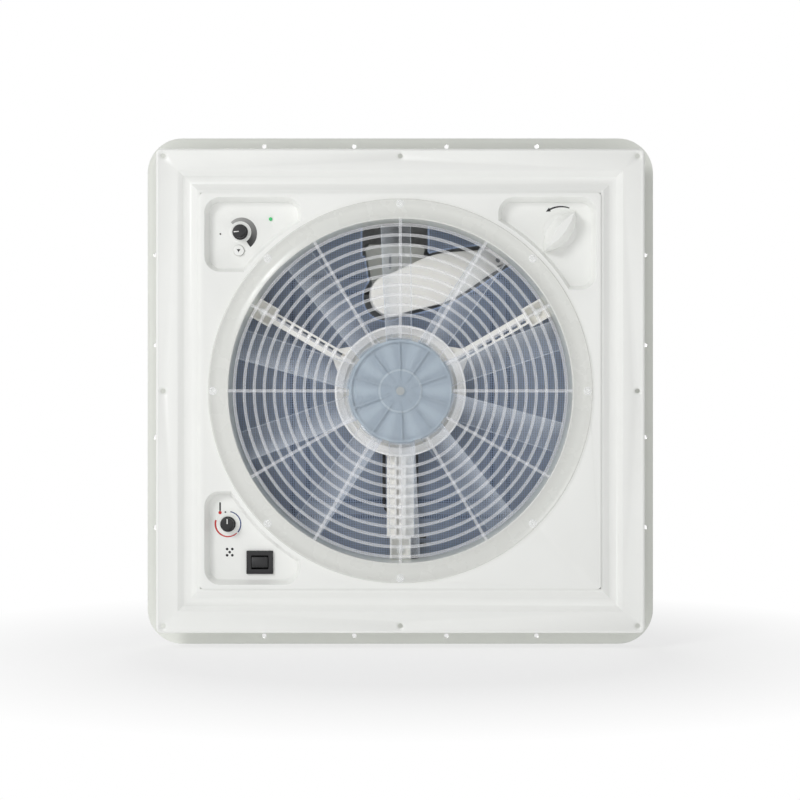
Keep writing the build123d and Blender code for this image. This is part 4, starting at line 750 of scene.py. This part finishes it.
def makeFloor():
    s = stageSettings
    material = bpy.data.materials.new("paleFloor")
    material.use_nodes = True
    tree = material.node_tree
    tree.nodes.clear()
    diffuse = tree.nodes.new("ShaderNodeBsdfDiffuse")
    diffuse.inputs["Color"].default_value = s["floorColour"]
    glow = tree.nodes.new("ShaderNodeEmission")
    glow.inputs["Strength"].default_value = 1.0
    away = addRange(tree, radiusFromAxis(tree), s["floorGlow"], 1.0, s["floorFadeStart"], s["floorFadeEnd"])
    lit = tree.nodes.new("ShaderNodeMixShader")
    tree.links.new(away, lit.inputs["Fac"])
    tree.links.new(diffuse.outputs["BSDF"], lit.inputs[1])
    tree.links.new(glow.outputs["Emission"], lit.inputs[2])
    clear = tree.nodes.new("ShaderNodeBsdfTransparent")
    geometry = tree.nodes.new("ShaderNodeNewGeometry")
    sided = tree.nodes.new("ShaderNodeMixShader")
    tree.links.new(geometry.outputs["Backfacing"], sided.inputs["Fac"])
    tree.links.new(lit.outputs["Shader"], sided.inputs[1])
    tree.links.new(clear.outputs["BSDF"], sided.inputs[2])
    end = tree.nodes.new("ShaderNodeOutputMaterial")
    tree.links.new(sided.outputs["Shader"], end.inputs["Surface"])
    bm = bmesh.new()
    bmesh.ops.create_grid(bm, x_segments=1, y_segments=1, size=s["floorSize"] / 2)
    mesh = bpy.data.meshes.new("floor")
    bm.to_mesh(mesh)
    bm.free()
    mesh.materials.append(material)
    floor = bpy.data.objects.new("floor", mesh)
    floor.location = (0, s["floorPlace"], 0)
    floor.rotation_euler = (radians(90), 0, 0)
    bpy.context.scene.collection.objects.link(floor)


def makeWorld():
    world = bpy.data.worlds.new("studio")
    world.use_nodes = True
    tree = world.node_tree
    background = tree.nodes["Background"]
    background.inputs["Color"].default_value = (1, 1, 1, 1)
    paths = tree.nodes.new("ShaderNodeLightPath")
    direct = addMath(tree, "MAXIMUM", paths.outputs["Is Camera Ray"], paths.outputs["Is Glossy Ray"])
    through = addMath(tree, "MAXIMUM", direct, paths.outputs["Is Transmission Ray"])
    strength = addRange(tree, through, stageSettings["skyForObject"], 1.0, 0.0, 1.0)
    tree.links.new(strength, background.inputs["Strength"])
    bpy.context.scene.world = world


def makeLamps():
    for name, place, size, power in lamps:
        data = bpy.data.lights.new(name, "AREA")
        data.shape = "DISK"
        data.size = size
        data.energy = power
        lamp = bpy.data.objects.new(name, data)
        lamp.location = place
        lamp.rotation_mode = "QUATERNION"
        lamp.rotation_quaternion = (-Vector(place)).to_track_quat("-Z", "Y")
        bpy.context.scene.collection.objects.link(lamp)


makeCamera()
makeFloor()
makeWorld()
makeLamps()
bpy.context.scene.view_settings.view_transform = "Standard"
print("stage and light ready")
